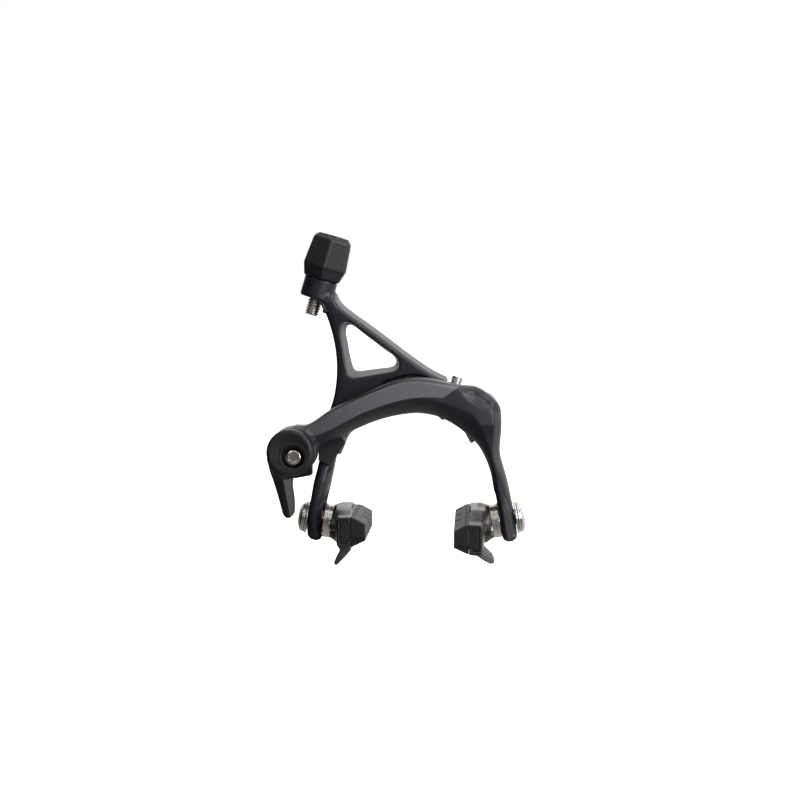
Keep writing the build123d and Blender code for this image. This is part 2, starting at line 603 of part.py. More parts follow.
for side, nm in ((-1, "left"), (1, "right")):
    cz = pad_cz[side]
    m = -side             # mirror factor: sections are written for the left

    def P(pts):
        return [(m * x, cz + z) for x, z in pts]

    pivot = Axis((0, pad_y, cz), (1, 0, 0))
    boss = pad_axis(side, 5.85)

    with BuildPart() as pad_bolt:
        with BuildSketch(pad_axis(side, -5.9)):
            Circle(3.0)
        extrude(amount=13.4)
        with BuildSketch(pad_axis(side, 7.3)):
            Circle(4.6)
        extrude(amount=1.5)
    pad_bolt.part.label = nm + "_pad_bolt"
    export_step(pad_bolt.part, "parts/" + nm + "_pad_bolt.step")

    with BuildPart() as pad_nut:
        with BuildSketch(pad_axis(side, -4.35)):
            Circle(5.3)
        extrude(amount=-2.3)
        chamfer(pad_nut.edges().filter_by(GeomType.CIRCLE).sort_by(Axis.X)[-1 if side > 0 else 0], length=1.0)
        with BuildSketch(pad_axis(side, -7.5)):
            RegularPolygon(radius=2.9, side_count=6)
        extrude(amount=1.7, mode=Mode.SUBTRACT)
        with BuildSketch(pad_axis(side, -8)):
            Circle(2.45)
        extrude(amount=3, mode=Mode.SUBTRACT)
        with BuildSketch(pad_axis(side, -5.9)):
            Circle(3.0)
        extrude(amount=3, mode=Mode.SUBTRACT)
    pad_nut.part.label = nm + "_pad_nut"
    export_step(pad_nut.part, "parts/" + nm + "_pad_nut.step")

    with BuildPart() as outer_washers:
        with BuildSketch(pad_axis(side, -2.85)):
            Circle(5.8)
            Circle(3.05, mode=Mode.SUBTRACT)
        extrude(amount=-0.75)
        with BuildSketch(pad_axis(side, -3.6)):
            Circle(5.5)
            Circle(3.05, mode=Mode.SUBTRACT)
        extrude(amount=-0.75)
    outer_washers.part.label = nm + "_outer_washers"
    export_step(outer_washers.part, "parts/" + nm + "_outer_washers.step")

    with BuildPart() as inner_washers:
        with BuildSketch(pad_axis(side, 2.85)):
            Circle(6.0)
            Circle(3.05, mode=Mode.SUBTRACT)
        extrude(amount=1.5)
        with BuildSketch(pad_axis(side, 4.35)):
            Circle(6.0)
            Circle(3.05, mode=Mode.SUBTRACT)
        extrude(amount=1.45)
    inner_washers.part.label = nm + "_inner_washers"
    export_step(inner_washers.part, "parts/" + nm + "_inner_washers.step")

    with BuildPart() as holder:
        with BuildSketch(Plane.XZ.offset(-pad_rear)):
            with BuildLine():
                Polyline(*P([(-26.0, 3.9), (-24.9, 5.2), (-20.7, 5.2), (-20.7, 3.1), (-21.9, 3.1), (-21.9, 4.1),
                             (-24.4, 4.1), (-24.4, -4.1), (-21.9, -4.1), (-21.9, -3.1), (-20.7, -3.1),
                             (-20.7, -5.2), (-24.9, -5.2), (-26.0, -3.9)]), close=True)
            make_face()
        extrude(amount=pad_rear - pad_front)
        # closed rear end that stops the insert
        with BuildSketch(Plane.XZ.offset(-pad_rear)):
            with BuildLine():
                Polyline(*P([(-26.0, 3.9), (-24.9, 5.2), (-20.7, 5.2), (-20.7, -5.2), (-24.9, -5.2),
                             (-26.0, -3.9)]), close=True)
            make_face()
        extrude(amount=1.6)
        # tapered ends of the back
        with BuildSketch(Plane.XY.offset(cz - 8)):
            with BuildLine():
                Polyline((m * -26.5, pad_front - 0.1), (m * -24.7, pad_front - 0.1), (m * -26.05, pad_front + 5.0),
                         (m * -26.5, pad_front + 5.0), close=True)
            make_face()
            with BuildLine():
                Polyline((m * -26.5, pad_rear + 0.1), (m * -24.7, pad_rear + 0.1), (m * -26.05, pad_rear - 5.0),
                         (m * -26.5, pad_rear - 5.0), close=True)
            make_face()
        extrude(amount=16, mode=Mode.SUBTRACT)
        # raised rib over the bolt
        with BuildSketch(Plane(origin=(m * -20.7, 0, cz), x_dir=(0, 1, 0), z_dir=(1, 0, 0))):
            with BuildLine():
                Polyline((-38.0, 5.0), (-31.0, 6.4), (-26.5, rib_h[side] - 0.5), (-21.0, rib_h[side]), (-10.0, rib_h[side]),
                         (-5.0, rib_h[side] - 0.7), (-1.5, 5.0), close=True)
            make_face()
        extrude(amount=m * -4.8)
    holder_turned = holder.part.rotate(pivot, pad_pitch[side])

    with BuildPart() as pad_holder:
        add(holder_turned)
        with BuildSketch(boss):
            Circle(6.2)
        extrude(amount=3.6)
        # threaded hole for the bolt and hole for the insert screw
        with BuildSketch(pad_axis(side, 0)):
            Circle(3.05)
        extrude(amount=7.6, mode=Mode.SUBTRACT)
        with BuildSketch(pad_axis(side, 7.25)):
            Circle(4.65)
        extrude(amount=1.6, mode=Mode.SUBTRACT)
        with BuildSketch(Plane(origin=(m * -28.4, screw_y, screw_z[side]), x_dir=(0, 1, 0), z_dir=(m, 0, 0))):
            Circle(1.95)
        extrude(amount=3.0)
        with BuildSketch(Plane(origin=(m * -30, screw_y, screw_z[side]), x_dir=(0, 1, 0), z_dir=(m, 0, 0))):
            Circle(1.25)
        extrude(amount=6.5, mode=Mode.SUBTRACT)
    pad_holder.part.label = nm + "_pad_holder"
    export_step(pad_holder.part, "parts/" + nm + "_pad_holder.step")

    with BuildPart() as rubber:
        with BuildSketch(Plane.XZ.offset(-pad_rear + 1.65)):
            with BuildLine():
                Polyline(*P([(-24.35, 4.05), (-21.95, 4.05), (-21.95, 3.05), (-20.65, 3.05), (-20.65, 5.2),
                             (-19.6, 5.2), (-15.4, 2.9), (-15.4, -2.9), (-19.6, -5.2), (-20.65, -5.2),
                             (-20.65, -3.05), (-21.95, -3.05), (-21.95, -4.05), (-24.35, -4.05)]), close=True)
            make_face()
        extrude(amount=pad_rear - pad_front - 1.65)
        # face part in front of the holder's end stop
        with BuildSketch(Plane.XZ.offset(-pad_rear)):
            with BuildLine():
                Polyline(*P([(-20.65, 5.2), (-19.6, 5.2), (-15.4, 2.9), (-15.4, -2.9), (-19.6, -5.2),
                             (-20.65, -5.2)]), close=True)
            make_face()
        extrude(amount=1.7)
        # water grooves across the braking face
        for gy in (-20.0, -7.0, 5.0):
            with BuildSketch(Plane.XY.offset(cz - 7)):
                with Locations((m * -15.9, gy)):
                    Rectangle(3.2, 1.5)
            extrude(amount=14, mode=Mode.SUBTRACT)
    rubber_turned = rubber.part.rotate(pivot, pad_pitch[side])

    with BuildPart() as pad_rubber:
        add(rubber_turned)
        with BuildSketch(pad_axis(side, 7.25)):
            Circle(4.7)
        extrude(amount=1.65, mode=Mode.SUBTRACT)
    pad_rubber.part.label = nm + "_pad_rubber"
    export_step(pad_rubber.part, "parts/" + nm + "_pad_rubber.step")

    with BuildPart() as pad_screw:
        with BuildSketch(Plane(origin=(m * -28.9, screw_y, screw_z[side]), x_dir=(0, 1, 0), z_dir=(m, 0, 0))):
            Circle(1.2)
        extrude(amount=4.4)
        with BuildSketch(Plane(origin=(m * -28.9, screw_y, screw_z[side]), x_dir=(0, 1, 0), z_dir=(m, 0, 0))):
            Circle(1.6)
        extrude(amount=0.5)
        with BuildSketch(Plane(origin=(m * -28.9, screw_y, screw_z[side]), x_dir=(0, 1, 0), z_dir=(m, 0, 0))):
            RegularPolygon(radius=0.75, side_count=6)
        extrude(amount=1.2, mode=Mode.SUBTRACT)
    pad_screw.part.label = nm + "_pad_screw"
    export_step(pad_screw.part, "parts/" + nm + "_pad_screw.step")

    with BuildPart() as guide:
        with BuildSketch(Plane.XZ.offset(8.0)):
            with BuildLine():
                Polyline(*P(wing[side]), close=True)
            make_face()
        extrude(amount=28.0)
        # rounded ends of the wing
        with BuildSketch(Plane.XY.offset(cz - 20)):
            with BuildLine():
                Polyline((m * -29.8, -6.0), (m * -21.4, -6.0), (m * -21.4, -12.0), (m * -24.5, -19.0), (m * -29.8, -27.0),
                         close=True)
            make_face()
            with BuildLine():
                Polyline((m * -29.8, -38.0), (m * -24.0, -38.0), (m * -24.0, -35.8), (m * -29.8, -33.5), close=True)
            make_face()
        extrude(amount=13.6, mode=Mode.SUBTRACT)
    wheel_turned = guide.part.rotate(pivot, pad_pitch[side])
    with BuildPart() as wheel_guide:
        add(wheel_turned)
    wheel_guide.part.label = nm + "_wheel_guide"
    export_step(wheel_guide.part, "parts/" + nm + "_wheel_guide.step")

# ============================ export ========================================
export_step(inner_arm.part, "parts/inner_arm.step")
export_step(inner_arm_bushing.part, "parts/inner_arm_bushing.step")
export_step(spring_shoe_left.part, "parts/spring_shoe_left.step")
export_step(adjuster_clip.part, "parts/adjuster_clip.step")
export_step(adjuster_barrel.part, "parts/adjuster_barrel.step")
export_step(adjuster_knob.part, "parts/adjuster_knob.step")
export_step(housing_seat.part, "parts/housing_seat.step")
export_step(outer_arm.part, "parts/outer_arm.step")
export_step(outer_arm_bushing.part, "parts/outer_arm_bushing.step")
export_step(centring_screw.part, "parts/centring_screw.step")
export_step(spring_shoe_right.part, "parts/spring_shoe_right.step")
export_step(centre_bolt.part, "parts/centre_bolt.step")
export_step(pivot_nut.part, "parts/pivot_nut.step")
export_step(thrust_washers.part, "parts/thrust_washers.step")
export_step(spacer_washer.part, "parts/spacer_washer.step")
export_step(pivot_bracket.part, "parts/pivot_bracket.step")
export_step(side_pivot_pin.part, "parts/side_pivot_pin.step")
export_step(spring_centre.part, "parts/spring_centre.step")
export_step(spring_leg_left.part, "parts/spring_leg_left.step")
export_step(spring_leg_right.part, "parts/spring_leg_right.step")
export_step(release_lever.part, "parts/release_lever.step")
export_step(release_spindle.part, "parts/release_spindle.step")
export_step(spindle_ring.part, "parts/spindle_ring.step")
export_step(anchor_bolt.part, "parts/anchor_bolt.step")
export_step(cable_clamp_plate.part, "parts/cable_clamp_plate.step")
export_step(anchor_nut.part, "parts/anchor_nut.step")
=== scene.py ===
import json
import math
import bpy
import numpy as np
from mathutils import Matrix, Vector

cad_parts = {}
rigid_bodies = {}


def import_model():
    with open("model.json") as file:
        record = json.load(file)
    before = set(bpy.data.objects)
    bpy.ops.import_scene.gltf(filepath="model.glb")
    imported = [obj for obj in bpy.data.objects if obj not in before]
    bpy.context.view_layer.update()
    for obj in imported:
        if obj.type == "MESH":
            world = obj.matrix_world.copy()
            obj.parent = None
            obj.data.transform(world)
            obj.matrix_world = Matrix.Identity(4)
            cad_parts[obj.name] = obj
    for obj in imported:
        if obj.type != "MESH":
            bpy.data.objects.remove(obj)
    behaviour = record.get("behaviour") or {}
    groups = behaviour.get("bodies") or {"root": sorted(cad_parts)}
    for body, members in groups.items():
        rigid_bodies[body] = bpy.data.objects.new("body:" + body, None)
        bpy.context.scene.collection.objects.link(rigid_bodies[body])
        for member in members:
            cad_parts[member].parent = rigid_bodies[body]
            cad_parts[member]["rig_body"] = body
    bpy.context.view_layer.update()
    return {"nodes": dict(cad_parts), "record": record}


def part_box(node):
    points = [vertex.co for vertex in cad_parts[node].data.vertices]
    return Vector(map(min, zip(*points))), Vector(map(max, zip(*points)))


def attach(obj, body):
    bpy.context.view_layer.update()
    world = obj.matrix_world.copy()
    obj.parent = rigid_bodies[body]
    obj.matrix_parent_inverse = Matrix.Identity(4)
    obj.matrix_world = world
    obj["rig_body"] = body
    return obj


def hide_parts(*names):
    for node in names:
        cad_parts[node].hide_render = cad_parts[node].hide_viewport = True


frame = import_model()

REC = frame["record"]
SLOT_OF = {s["node"]: s["material_slot"] for s in REC["subparts"]}
f4 = np.float32
sin, cos, rad, pi = math.sin, math.cos, math.radians, math.pi


def ctr(node):
    lo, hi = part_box(node)
    return (lo + hi) * 500.0


# ----------------------------------------------------------------------------
# distance-field modelling, in millimetres
# ----------------------------------------------------------------------------
class Field:
    """A regular grid in its own frame; X, Y and Z broadcast against each other."""

    def __init__(self, lo, hi, h, origin=None, axes=None):
        self.h = h
        g = [np.arange(lo[i] - 2.2 * h, hi[i] + 2.3 * h, h).astype(f4) for i in range(3)]
        self.g = g
        self.X, self.Y, self.Z = g[0][:, None, None], g[1][None, :, None], g[2][None, None, :]
        self.o = np.array(origin if origin is not None else (0, 0, 0), float)
        self.A = np.array(axes if axes is not None else ((1, 0, 0), (0, 1, 0), (0, 0, 1)), float)
        self.R = None

    def rr(self):
        if self.R is None:
            self.R = np.sqrt(self.X ** 2 + self.Y ** 2)
        return self.R


def rint(a, b, r):
    """Intersection with a rounded outer edge of radius r."""
    if r <= 0:
        return np.maximum(a, b)
    u, v = np.maximum(a + r, 0), np.maximum(b + r, 0)
    return np.minimum(np.maximum(a, b), -r) + np.sqrt(u * u + v * v)


def runi(a, b, r):
    """Union with a fillet of radius r."""
    if r <= 0:
        return np.minimum(a, b)
    u, v = np.maximum(r - a, 0), np.maximum(r - b, 0)
    return np.maximum(np.minimum(a, b), r) - np.sqrt(u * u + v * v)


def rdif(a, b, r):
    return rint(a, -b, r)


def band(v, a, b):
    """Signed distance to the slab a < v < b."""
    return np.maximum(a - v, v - b)


def circ(X, Z, cx, cz, r):
    return np.sqrt((X - cx) ** 2 + (Z - cz) ** 2) - r


def ngon(X, Y, ap, n=6, turn=0.0):
    d = None
    for i in range(n):
        t = 2 * pi * i / n + rad(turn)
        v = X * cos(t) + Y * sin(t) - ap
        d = v if d is None else np.maximum(d, v)
    return d


def smooth(a, b, v):
    t = np.clip((v - a) / (b - a), 0, 1)
    return t * t * (3 - 2 * t)


def spl(pts, per=7):
    """Natural cubic spline through the points, sampled densely."""
    P = np.array(pts, float)
    n = len(P)
    if n < 3:
        return [tuple(p) for p in P]
    s = np.concatenate([[0], np.cumsum(np.linalg.norm(np.diff(P, axis=0), axis=1))])
    h = np.diff(s)
    A = np.zeros((n, n))
    B = np.zeros((n, 2))
    A[0, 0] = A[-1, -1] = 1
    for i in range(1, n - 1):
        A[i, i - 1], A[i, i], A[i, i + 1] = h[i - 1], 2 * (h[i - 1] + h[i]), h[i]
        B[i] = 6 * ((P[i + 1] - P[i]) / h[i] - (P[i] - P[i - 1]) / h[i - 1])
    m = np.linalg.solve(A, B)
    out = []
    for i in range(n - 1):
        for k in range(per):
            t = h[i] * k / per
            out.append(tuple(m[i] * (h[i] - t) ** 3 / (6 * h[i]) + m[i + 1] * t ** 3 / (6 * h[i])
                             + (P[i] / h[i] - m[i] * h[i] / 6) * (h[i] - t) + (P[i + 1] / h[i] - m[i + 1] * h[i] / 6) * t))
    out.append(tuple(P[-1]))
    return out


def spl_loop(pts, per=7):
    k = 4
    ext = list(pts[-k:]) + list(pts) + list(pts[:k + 1])
    s = spl(ext, per)
    return s[k * per:(k + len(pts)) * per]


def seg_d2(X, Z, p, q):
    ex, ez = q[0] - p[0], q[1] - p[1]
    L = max(ex * ex + ez * ez, 1e-9)
    wx, wz = X - p[0], Z - p[1]
    t = np.clip((wx * ex + wz * ez) / L, 0, 1)
    return (wx - ex * t) ** 2 + (wz - ez * t) ** 2


def line_d(X, Z, pts):
    d = None
    for p, q in zip(pts[:-1], pts[1:]):
        v = seg_d2(X, Z, p, q)
        d = v if d is None else np.minimum(d, v)
    return np.sqrt(d)


def poly_d(X, Z, pts):
    pts = [tuple(map(float, p)) for p in pts]
    d, ins = None, None
    for p, q in zip(pts, pts[1:] + pts[:1]):
        if abs(p[0] - q[0]) + abs(p[1] - q[1]) < 1e-7:
            continue
        v = seg_d2(X, Z, p, q)
        d = v if d is None else np.minimum(d, v)
        if p[1] != q[1]:
            c = ((p[1] <= Z) & (Z < q[1])) | ((q[1] <= Z) & (Z < p[1]))
            c = c & (X < p[0] + (Z - p[1]) * ((q[0] - p[0]) / (q[1] - p[1])))
            ins = c if ins is None else ins ^ c
    d = np.sqrt(d)
    return np.where(ins, -d, d).astype(f4)


def nets(F, g):
    """Surface nets on a signed distance grid: vertices (mm, grid frame) and quads, projected onto the surface."""
    F = np.ascontiguousarray(F, dtype=f4)
    S = F < 0
    n = [s - 1 for s in F.shape]
    cnt = np.zeros(n, np.int8)
    for i in (0, 1):
        for j in (0, 1):
            for k in (0, 1):
                cnt += S[i:n[0] + i, j:n[1] + j, k:n[2] + k]
    act = (cnt > 0) & (cnt < 8)
    I = np.argwhere(act)
    vid = np.full(n, -1, np.int32)
    vid[act] = np.arange(len(I), dtype=np.int32)
    c8 = np.array([(i, j, k) for i in (0, 1) for j in (0, 1) for k in (0, 1)])
    V8 = np.stack([F[I[:, 0] + a, I[:, 1] + b, I[:, 2] + c] for a, b, c in c8], 1).astype(np.float64)
    pos = np.zeros((len(I), 3))
    num = np.zeros(len(I))
    for p in range(8):
        for q in range(p + 1, 8):
            if np.abs(c8[p] - c8[q]).sum() != 1:
                continue
            fa, fb = V8[:, p], V8[:, q]
            cr = (fa < 0) != (fb < 0)
            den = np.where(cr, fa - fb, 1.0)
            t = np.where(cr, fa / den, 0.0)
            pos += np.where(cr[:, None], c8[p] + t[:, None] * (c8[q] - c8[p]), 0.0)
            num += cr
    pos /= num[:, None]
    for _ in range(2):                     # onto the trilinear surface
        x, y, z = pos[:, 0], pos[:, 1], pos[:, 2]
        wx, wy, wz = [1 - x, x], [1 - y, y], [1 - z, z]
        f = gx = gy = gz = 0
        for m, (a, b, c) in enumerate(c8):
            f = f + V8[:, m] * wx[a] * wy[b] * wz[c]
            gx = gx + V8[:, m] * (1 if a else -1) * wy[b] * wz[c]
            gy = gy + V8[:, m] * wx[a] * (1 if b else -1) * wz[c]
            gz = gz + V8[:, m] * wx[a] * wy[b] * (1 if c else -1)
        G = np.stack([gx, gy, gz], 1)
        st = -f[:, None] * G / np.maximum((G * G).sum(1), 1e-12)[:, None]
        L = np.linalg.norm(st, axis=1)
        st *= np.minimum(1, 0.35 / np.maximum(L, 1e-9))[:, None]
        pos = np.clip(pos + st, 0.02, 0.98)
    V = (I + pos) * (g[0][1] - g[0][0]) + np.array([g[0][0], g[1][0], g[2][0]])
    Q = []
    for ax in range(3):
        sl0 = [slice(1, -1)] * 3
        sl1 = [slice(1, -1)] * 3
        sl0[ax], sl1[ax] = slice(0, -1), slice(1, None)
        ch = S[tuple(sl0)] != S[tuple(sl1)]
        E = np.argwhere(ch)
        if not len(E):
            continue
        u, w = [a for a in range(3) if a != ax]
        off = np.zeros(3, int)
        off[u] = off[w] = 1
        E = E + off
        neg = S[E[:, 0], E[:, 1], E[:, 2]]

        def cell(du, dw):
            C = E.copy()
            C[:, u] -= du
            C[:, w] -= dw
            return vid[C[:, 0], C[:, 1], C[:, 2]]
        q = np.stack([cell(1, 1), cell(0, 1), cell(0, 0), cell(1, 0)], 1)
        flip = neg if ax == 1 else ~neg
        q[flip] = q[flip][:, ::-1]
        Q.append(q)
    return V, np.concatenate(Q)


def relax(V, Q, it, lam=0.5):
    """Taubin smoothing that keeps the size; takes the grid pattern out of soft forms."""
    a = np.concatenate([Q[:, 0], Q[:, 1], Q[:, 2], Q[:, 3]])
    b = np.concatenate([Q[:, 1], Q[:, 2], Q[:, 3], Q[:, 0]])
    a, b = np.concatenate([a, b]), np.concatenate([b, a])
    deg = np.maximum(np.bincount(a, minlength=len(V)), 1).astype(float)
    for i in range(it):
        for k in (lam, -lam * 1.04):
            avg = np.stack([np.bincount(a, weights=V[b, c], minlength=len(V)) for c in range(3)], 1) / deg[:, None]
            V = V + k * (avg - V)
    return V


MATS = {}
BUILT = []


def mesh_object(name, V, Q, mat, nodes, body=None, attrs=None, sharp=None):
    """V in millimetres in the row frame; Q an (n, 4) or list of faces."""
    me = bpy.data.meshes.new(name)
    V = np.asarray(V, float) / 1000.0
    if isinstance(Q, np.ndarray):
        me.vertices.add(len(V))
        me.vertices.foreach_set("co", V.astype(f4).ravel())
        me.loops.add(Q.size)
        me.loops.foreach_set("vertex_index", Q.astype(np.int32).ravel())
        me.polygons.add(len(Q))
        me.polygons.foreach_set("loop_start", np.arange(0, Q.size, Q.shape[1], dtype=np.int32))
        me.update(calc_edges=True)
    else:
        me.from_pydata([tuple(v) for v in V], [], [tuple(q) for q in Q])
        me.update()
    me.validate()
    me.polygons.foreach_set("use_smooth", np.ones(len(me.polygons), bool))
    if sharp is not None:
        me.set_sharp_from_angle(angle=rad(sharp))
    for k, v in (attrs or {}).items():
        at = me.attributes.new(k, "FLOAT", "POINT")
        at.data.foreach_set("value", np.asarray(v, f4))
    ob = bpy.data.objects.new(name, me)
    bpy.context.scene.collection.objects.link(ob)
    me.materials.append(MATS[mat])
    node = nodes[0]
    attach(ob, body or frame["nodes"][node]["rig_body"])
    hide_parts(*nodes)
    BUILT.append((ob, nodes))
    return ob


def solid(name, F, fld, mat, nodes, smooth_it=0, attr=None, **k):
    V, Q = nets(F, fld.g)
    if smooth_it:
        V = relax(V, Q, smooth_it)
    W = V @ fld.A + fld.o
    attrs = attr(V) if attr else None
    return mesh_object(name, W, Q, mat, nodes, attrs=attrs, **k)


def axes_from(zdir, xhint=(0, 1, 0)):
    z = np.array(zdir, float)
    z /= np.linalg.norm(z)
    x = np.array(xhint, float)
    x -= z * (x @ z)
    x /= np.linalg.norm(x)
    return np.array([x, np.cross(z, x), z])


def thread(fld, r, pitch, depth, z0, z1, lead=0.7, hand=1):
    """Radius of a 60-degree thread, fading out near both ends."""
    th = np.arctan2(fld.Y, fld.X)
    ph = (fld.Z / pitch - hand * th / (2 * pi)) % 1.0
    tri = np.abs(ph * 2 - 1)
    cut = depth * np.clip((tri - 0.12) / 0.72, 0, 1)
    w = np.clip((fld.Z - z0) / lead, 0, 1) * np.clip((z1 - fld.Z) / lead, 0, 1)
    return r - cut * w


def cyl(fld, r, z0, z1, e=0.0):
    return rint(fld.rr() - r, band(fld.Z, z0, z1), e)


# ----------------------------------------------------------------------------
# materials
# ----------------------------------------------------------------------------
class Mat:
    def __init__(self, name):
        m = bpy.data.materials.new(name)
        m.use_nodes = True
        self.m, self.t = m, m.node_tree
        self.n = self.t.nodes
        self.b = self.n["Principled BSDF"]
        self.co = self.n.new("ShaderNodeTexCoord").outputs["Object"]
        self.height = None
        MATS[name] = m

    def link(self, a, b):
        self.t.links.new(a, b)

    def noise(self, scale, detail=3.0, rough=0.55, stretch=None, rot=None, co=None):
        nd = self.n.new("ShaderNodeTexNoise")
        nd.inputs["Scale"].default_value = scale
        nd.inputs["Detail"].default_value = detail
        nd.inputs["Roughness"].default_value = rough
        src = co or self.co
        if stretch:
            mp = self.n.new("ShaderNodeMapping")
            mp.inputs["Scale"].default_value = stretch
            if rot:
                mp.inputs["Rotation"].default_value = rot
            self.link(src, mp.inputs["Vector"])
            src = mp.outputs["Vector"]
        self.link(src, nd.inputs["Vector"])
        return nd.outputs["Fac"]

    def ramp(self, fac, stops):
        r = self.n.new("ShaderNodeValToRGB")
        e = r.color_ramp.elements
        while len(e) < len(stops):
            e.new(0.5)
        for el, (p, c) in zip(e, stops):
            el.position = p
            el.color = (*c, 1) if len(c) == 3 else c
        self.link(fac, r.inputs["Fac"])
        return r.outputs["Color"]

    def maprange(self, v, a, b, c, d):
        r = self.n.new("ShaderNodeMapRange")
        for i, x in enumerate((a, b, c, d)):
            r.inputs[i + 1].default_value = x
        self.link(v, r.inputs[0])
        return r.outputs[0]

    def math(self, op, a, b):
        r = self.n.new("ShaderNodeMath")
        r.operation = op
        for i, x in enumerate((a, b)):
            if isinstance(x, (int, float)):
                r.inputs[i].default_value = x
            else:
                self.link(x, r.inputs[i])
        return r.outputs[0]

    def mix(self, fac, a, b):
        r = self.n.new("ShaderNodeMix")
        r.data_type = "RGBA"
        for i, x in ((0, fac), (6, a), (7, b)):
            if isinstance(x, (int, float)):
                r.inputs[i].default_value = x
            elif isinstance(x, tuple):
                r.inputs[i].default_value = (*x, 1)
            else:
                self.link(x, r.inputs[i])
        return r.outputs[2]

    def bump(self, fac, strength, dist):
        bp = self.n.new("ShaderNodeBump")
        bp.inputs["Strength"].default_value = strength
        bp.inputs["Distance"].default_value = dist
        self.link(fac, bp.inputs["Height"])
        if self.height is not None:
            self.link(self.height, bp.inputs["Normal"])
        self.height = bp.outputs["Normal"]
        self.link(self.height, self.b.inputs["Normal"])

    def attr(self, name):
        a = self.n.new("ShaderNodeAttribute")
        a.attribute_name = name
        return a.outputs["Fac"]

    def edges(self, lo, hi):
        g = self.n.new("ShaderNodeNewGeometry")
        return self.maprange(g.outputs["Pointiness"], lo, hi, 0.0, 1.0)

    def set(self, **k):
        for key, v in k.items():
            self.b.inputs[key.replace("_", " ")].default_value = v


def paint(name, c0, c1, r0, r1, spec=0.5, grain=1.0, edge=0.35):
    """Satin black forging: slight mottling, fine orange peel, edges rubbed a little lighter."""
    m = Mat(name)
    big = m.noise(160, 4)
    col = m.ramp(big, [(0.3, c0), (0.7, c1)])
    fine = m.noise(2600, 2)
    e = m.math("MULTIPLY", m.edges(0.53, 0.62), m.maprange(m.noise(900, 3), 0.4, 0.65, 0.15, 1.0))
    col = m.mix(m.math("MULTIPLY", e, edge), col, (0.10, 0.10, 0.105))
    m.link(col, m.b.inputs["Base Color"])
    m.link(m.maprange(m.noise(420, 4, 0.6), 0.25, 0.75, r0, r1), m.b.inputs["Roughness"])
    m.set(Specular_IOR_Level=spec)
    m.bump(fine, 0.10 * grain, 0.00006)
    m.bump(m.noise(9000, 2), 0.12 * grain, 0.00002)
    return m


def metal(name, c0, c1, r0, r1, brush=(1, 1, 1), scale=2500, bump=0.03, metallic=1.0, dirt=(0.25, 0.23, 0.21)):
    m = Mat(name)
    br = m.noise(scale, 3, 0.6, stretch=brush)
    col = m.ramp(m.noise(500, 4), [(0.3, c0), (0.7, c1)])
    spots = m.maprange(m.noise(1400, 5, 0.65), 0.62, 0.78, 0.0, 0.16)
    col = m.mix(spots, col, dirt)
    m.link(col, m.b.inputs["Base Color"])
    m.link(m.maprange(br, 0.3, 0.7, r0, r1), m.b.inputs["Roughness"])
    m.set(Metallic=metallic)
    m.bump(br, bump, 0.00003)
    return m


# arms
pa = paint("arm_paint", (0.0105, 0.0115, 0.0155), (0.0150, 0.0162, 0.0210), 0.36, 0.44)
# the front arm also carries a plain lighter band, its edge given by a distance stored on the mesh
pb = paint("arm_paint_band", (0.0105, 0.0115, 0.0155), (0.0150, 0.0162, 0.0210), 0.36, 0.44)
bd = pb.attr("band_mm")
mask = pb.maprange(bd, 0.08, -0.08, 0.0, 1.0)
old = pb.b.inputs["Base Color"].links[0].from_socket
lite = pb.ramp(pb.noise(5200, 3), [(0.25, (0.095, 0.092, 0.100)), (0.75, (0.165, 0.160, 0.170))])
sxyz = pb.n.new("ShaderNodeSeparateXYZ")
pb.link(pb.co, sxyz.inputs[0])
# painted shade: the printed band is mixed up to 55% towards near-black along x towards its left end, standing in for
# the weaker light where the curved face turns away from the key light
lite = pb.mix(pb.maprange(sxyz.outputs["X"], -0.036, -0.008, 0.55, 0.0), lite, (0.030, 0.030, 0.036))
pb.link(pb.mix(mask, old, lite), pb.b.inputs["Base Color"])
oldr = pb.b.inputs["Roughness"].links[0].from_socket
pb.link(pb.math("ADD", oldr, pb.math("MULTIPLY", mask, 0.08)), pb.b.inputs["Roughness"])

# moulded plastics
m = paint("black_plastic", (0.0095, 0.0095, 0.0098), (0.0150, 0.0148, 0.0148), 0.42, 0.54, spec=0.45, grain=2.2, edge=0.25)
m = paint("knob_plastic", (0.0085, 0.0084, 0.0084), (0.0165, 0.0160, 0.0158), 0.44, 0.56, spec=0.5, grain=2.0, edge=0.5)
streak = m.noise(5200, 2, 0.5, stretch=(1.0, 1.0, 0.06), rot=(0, rad(-16.3), 0))
m.bump(streak, 0.35, 0.00008)
m = paint("guide_plastic", (0.070, 0.064, 0.059), (0.095, 0.088, 0.081), 0.38, 0.5, grain=1.6, edge=0.2)
m = paint("alloy_black", (0.016, 0.016, 0.0165), (0.024, 0.0235, 0.0235), 0.24, 0.34, spec=0.55, grain=0.8, edge=0.5)
m = paint("rubber", (0.0085, 0.0085, 0.009), (0.0145, 0.014, 0.014), 0.46, 0.6, spec=0.4, grain=3.0, edge=0.15)
worn = m.maprange(m.noise(1700, 5, 0.7), 0.58, 0.78, 0.0, 0.5)
oldc = m.b.inputs["Base Color"].links[0].from_socket
m.link(m.mix(worn, oldc, (0.035, 0.033, 0.032)), m.b.inputs["Base Color"])

# metals
metal("steel", (0.66, 0.63, 0.60), (0.78, 0.75, 0.72), 0.22, 0.32, bump=0.02)
metal("zinc", (0.62, 0.64, 0.66), (0.75, 0.77, 0.79), 0.20, 0.34)
metal("polished", (0.70, 0.68, 0.66), (0.82, 0.80, 0.78), 0.12, 0.19, bump=0.008)
metal("dark_steel", (0.045, 0.045, 0.047), (0.075, 0.074, 0.074), 0.30, 0.42, dirt=(0.03, 0.028, 0.027))
metal("spring_steel", (0.42, 0.41, 0.40), (0.55, 0.54, 0.52), 0.22, 0.34)
metal("bronze", (0.46, 0.30, 0.13), (0.58, 0.40, 0.19), 0.30, 0.44, dirt=(0.14, 0.09, 0.05))

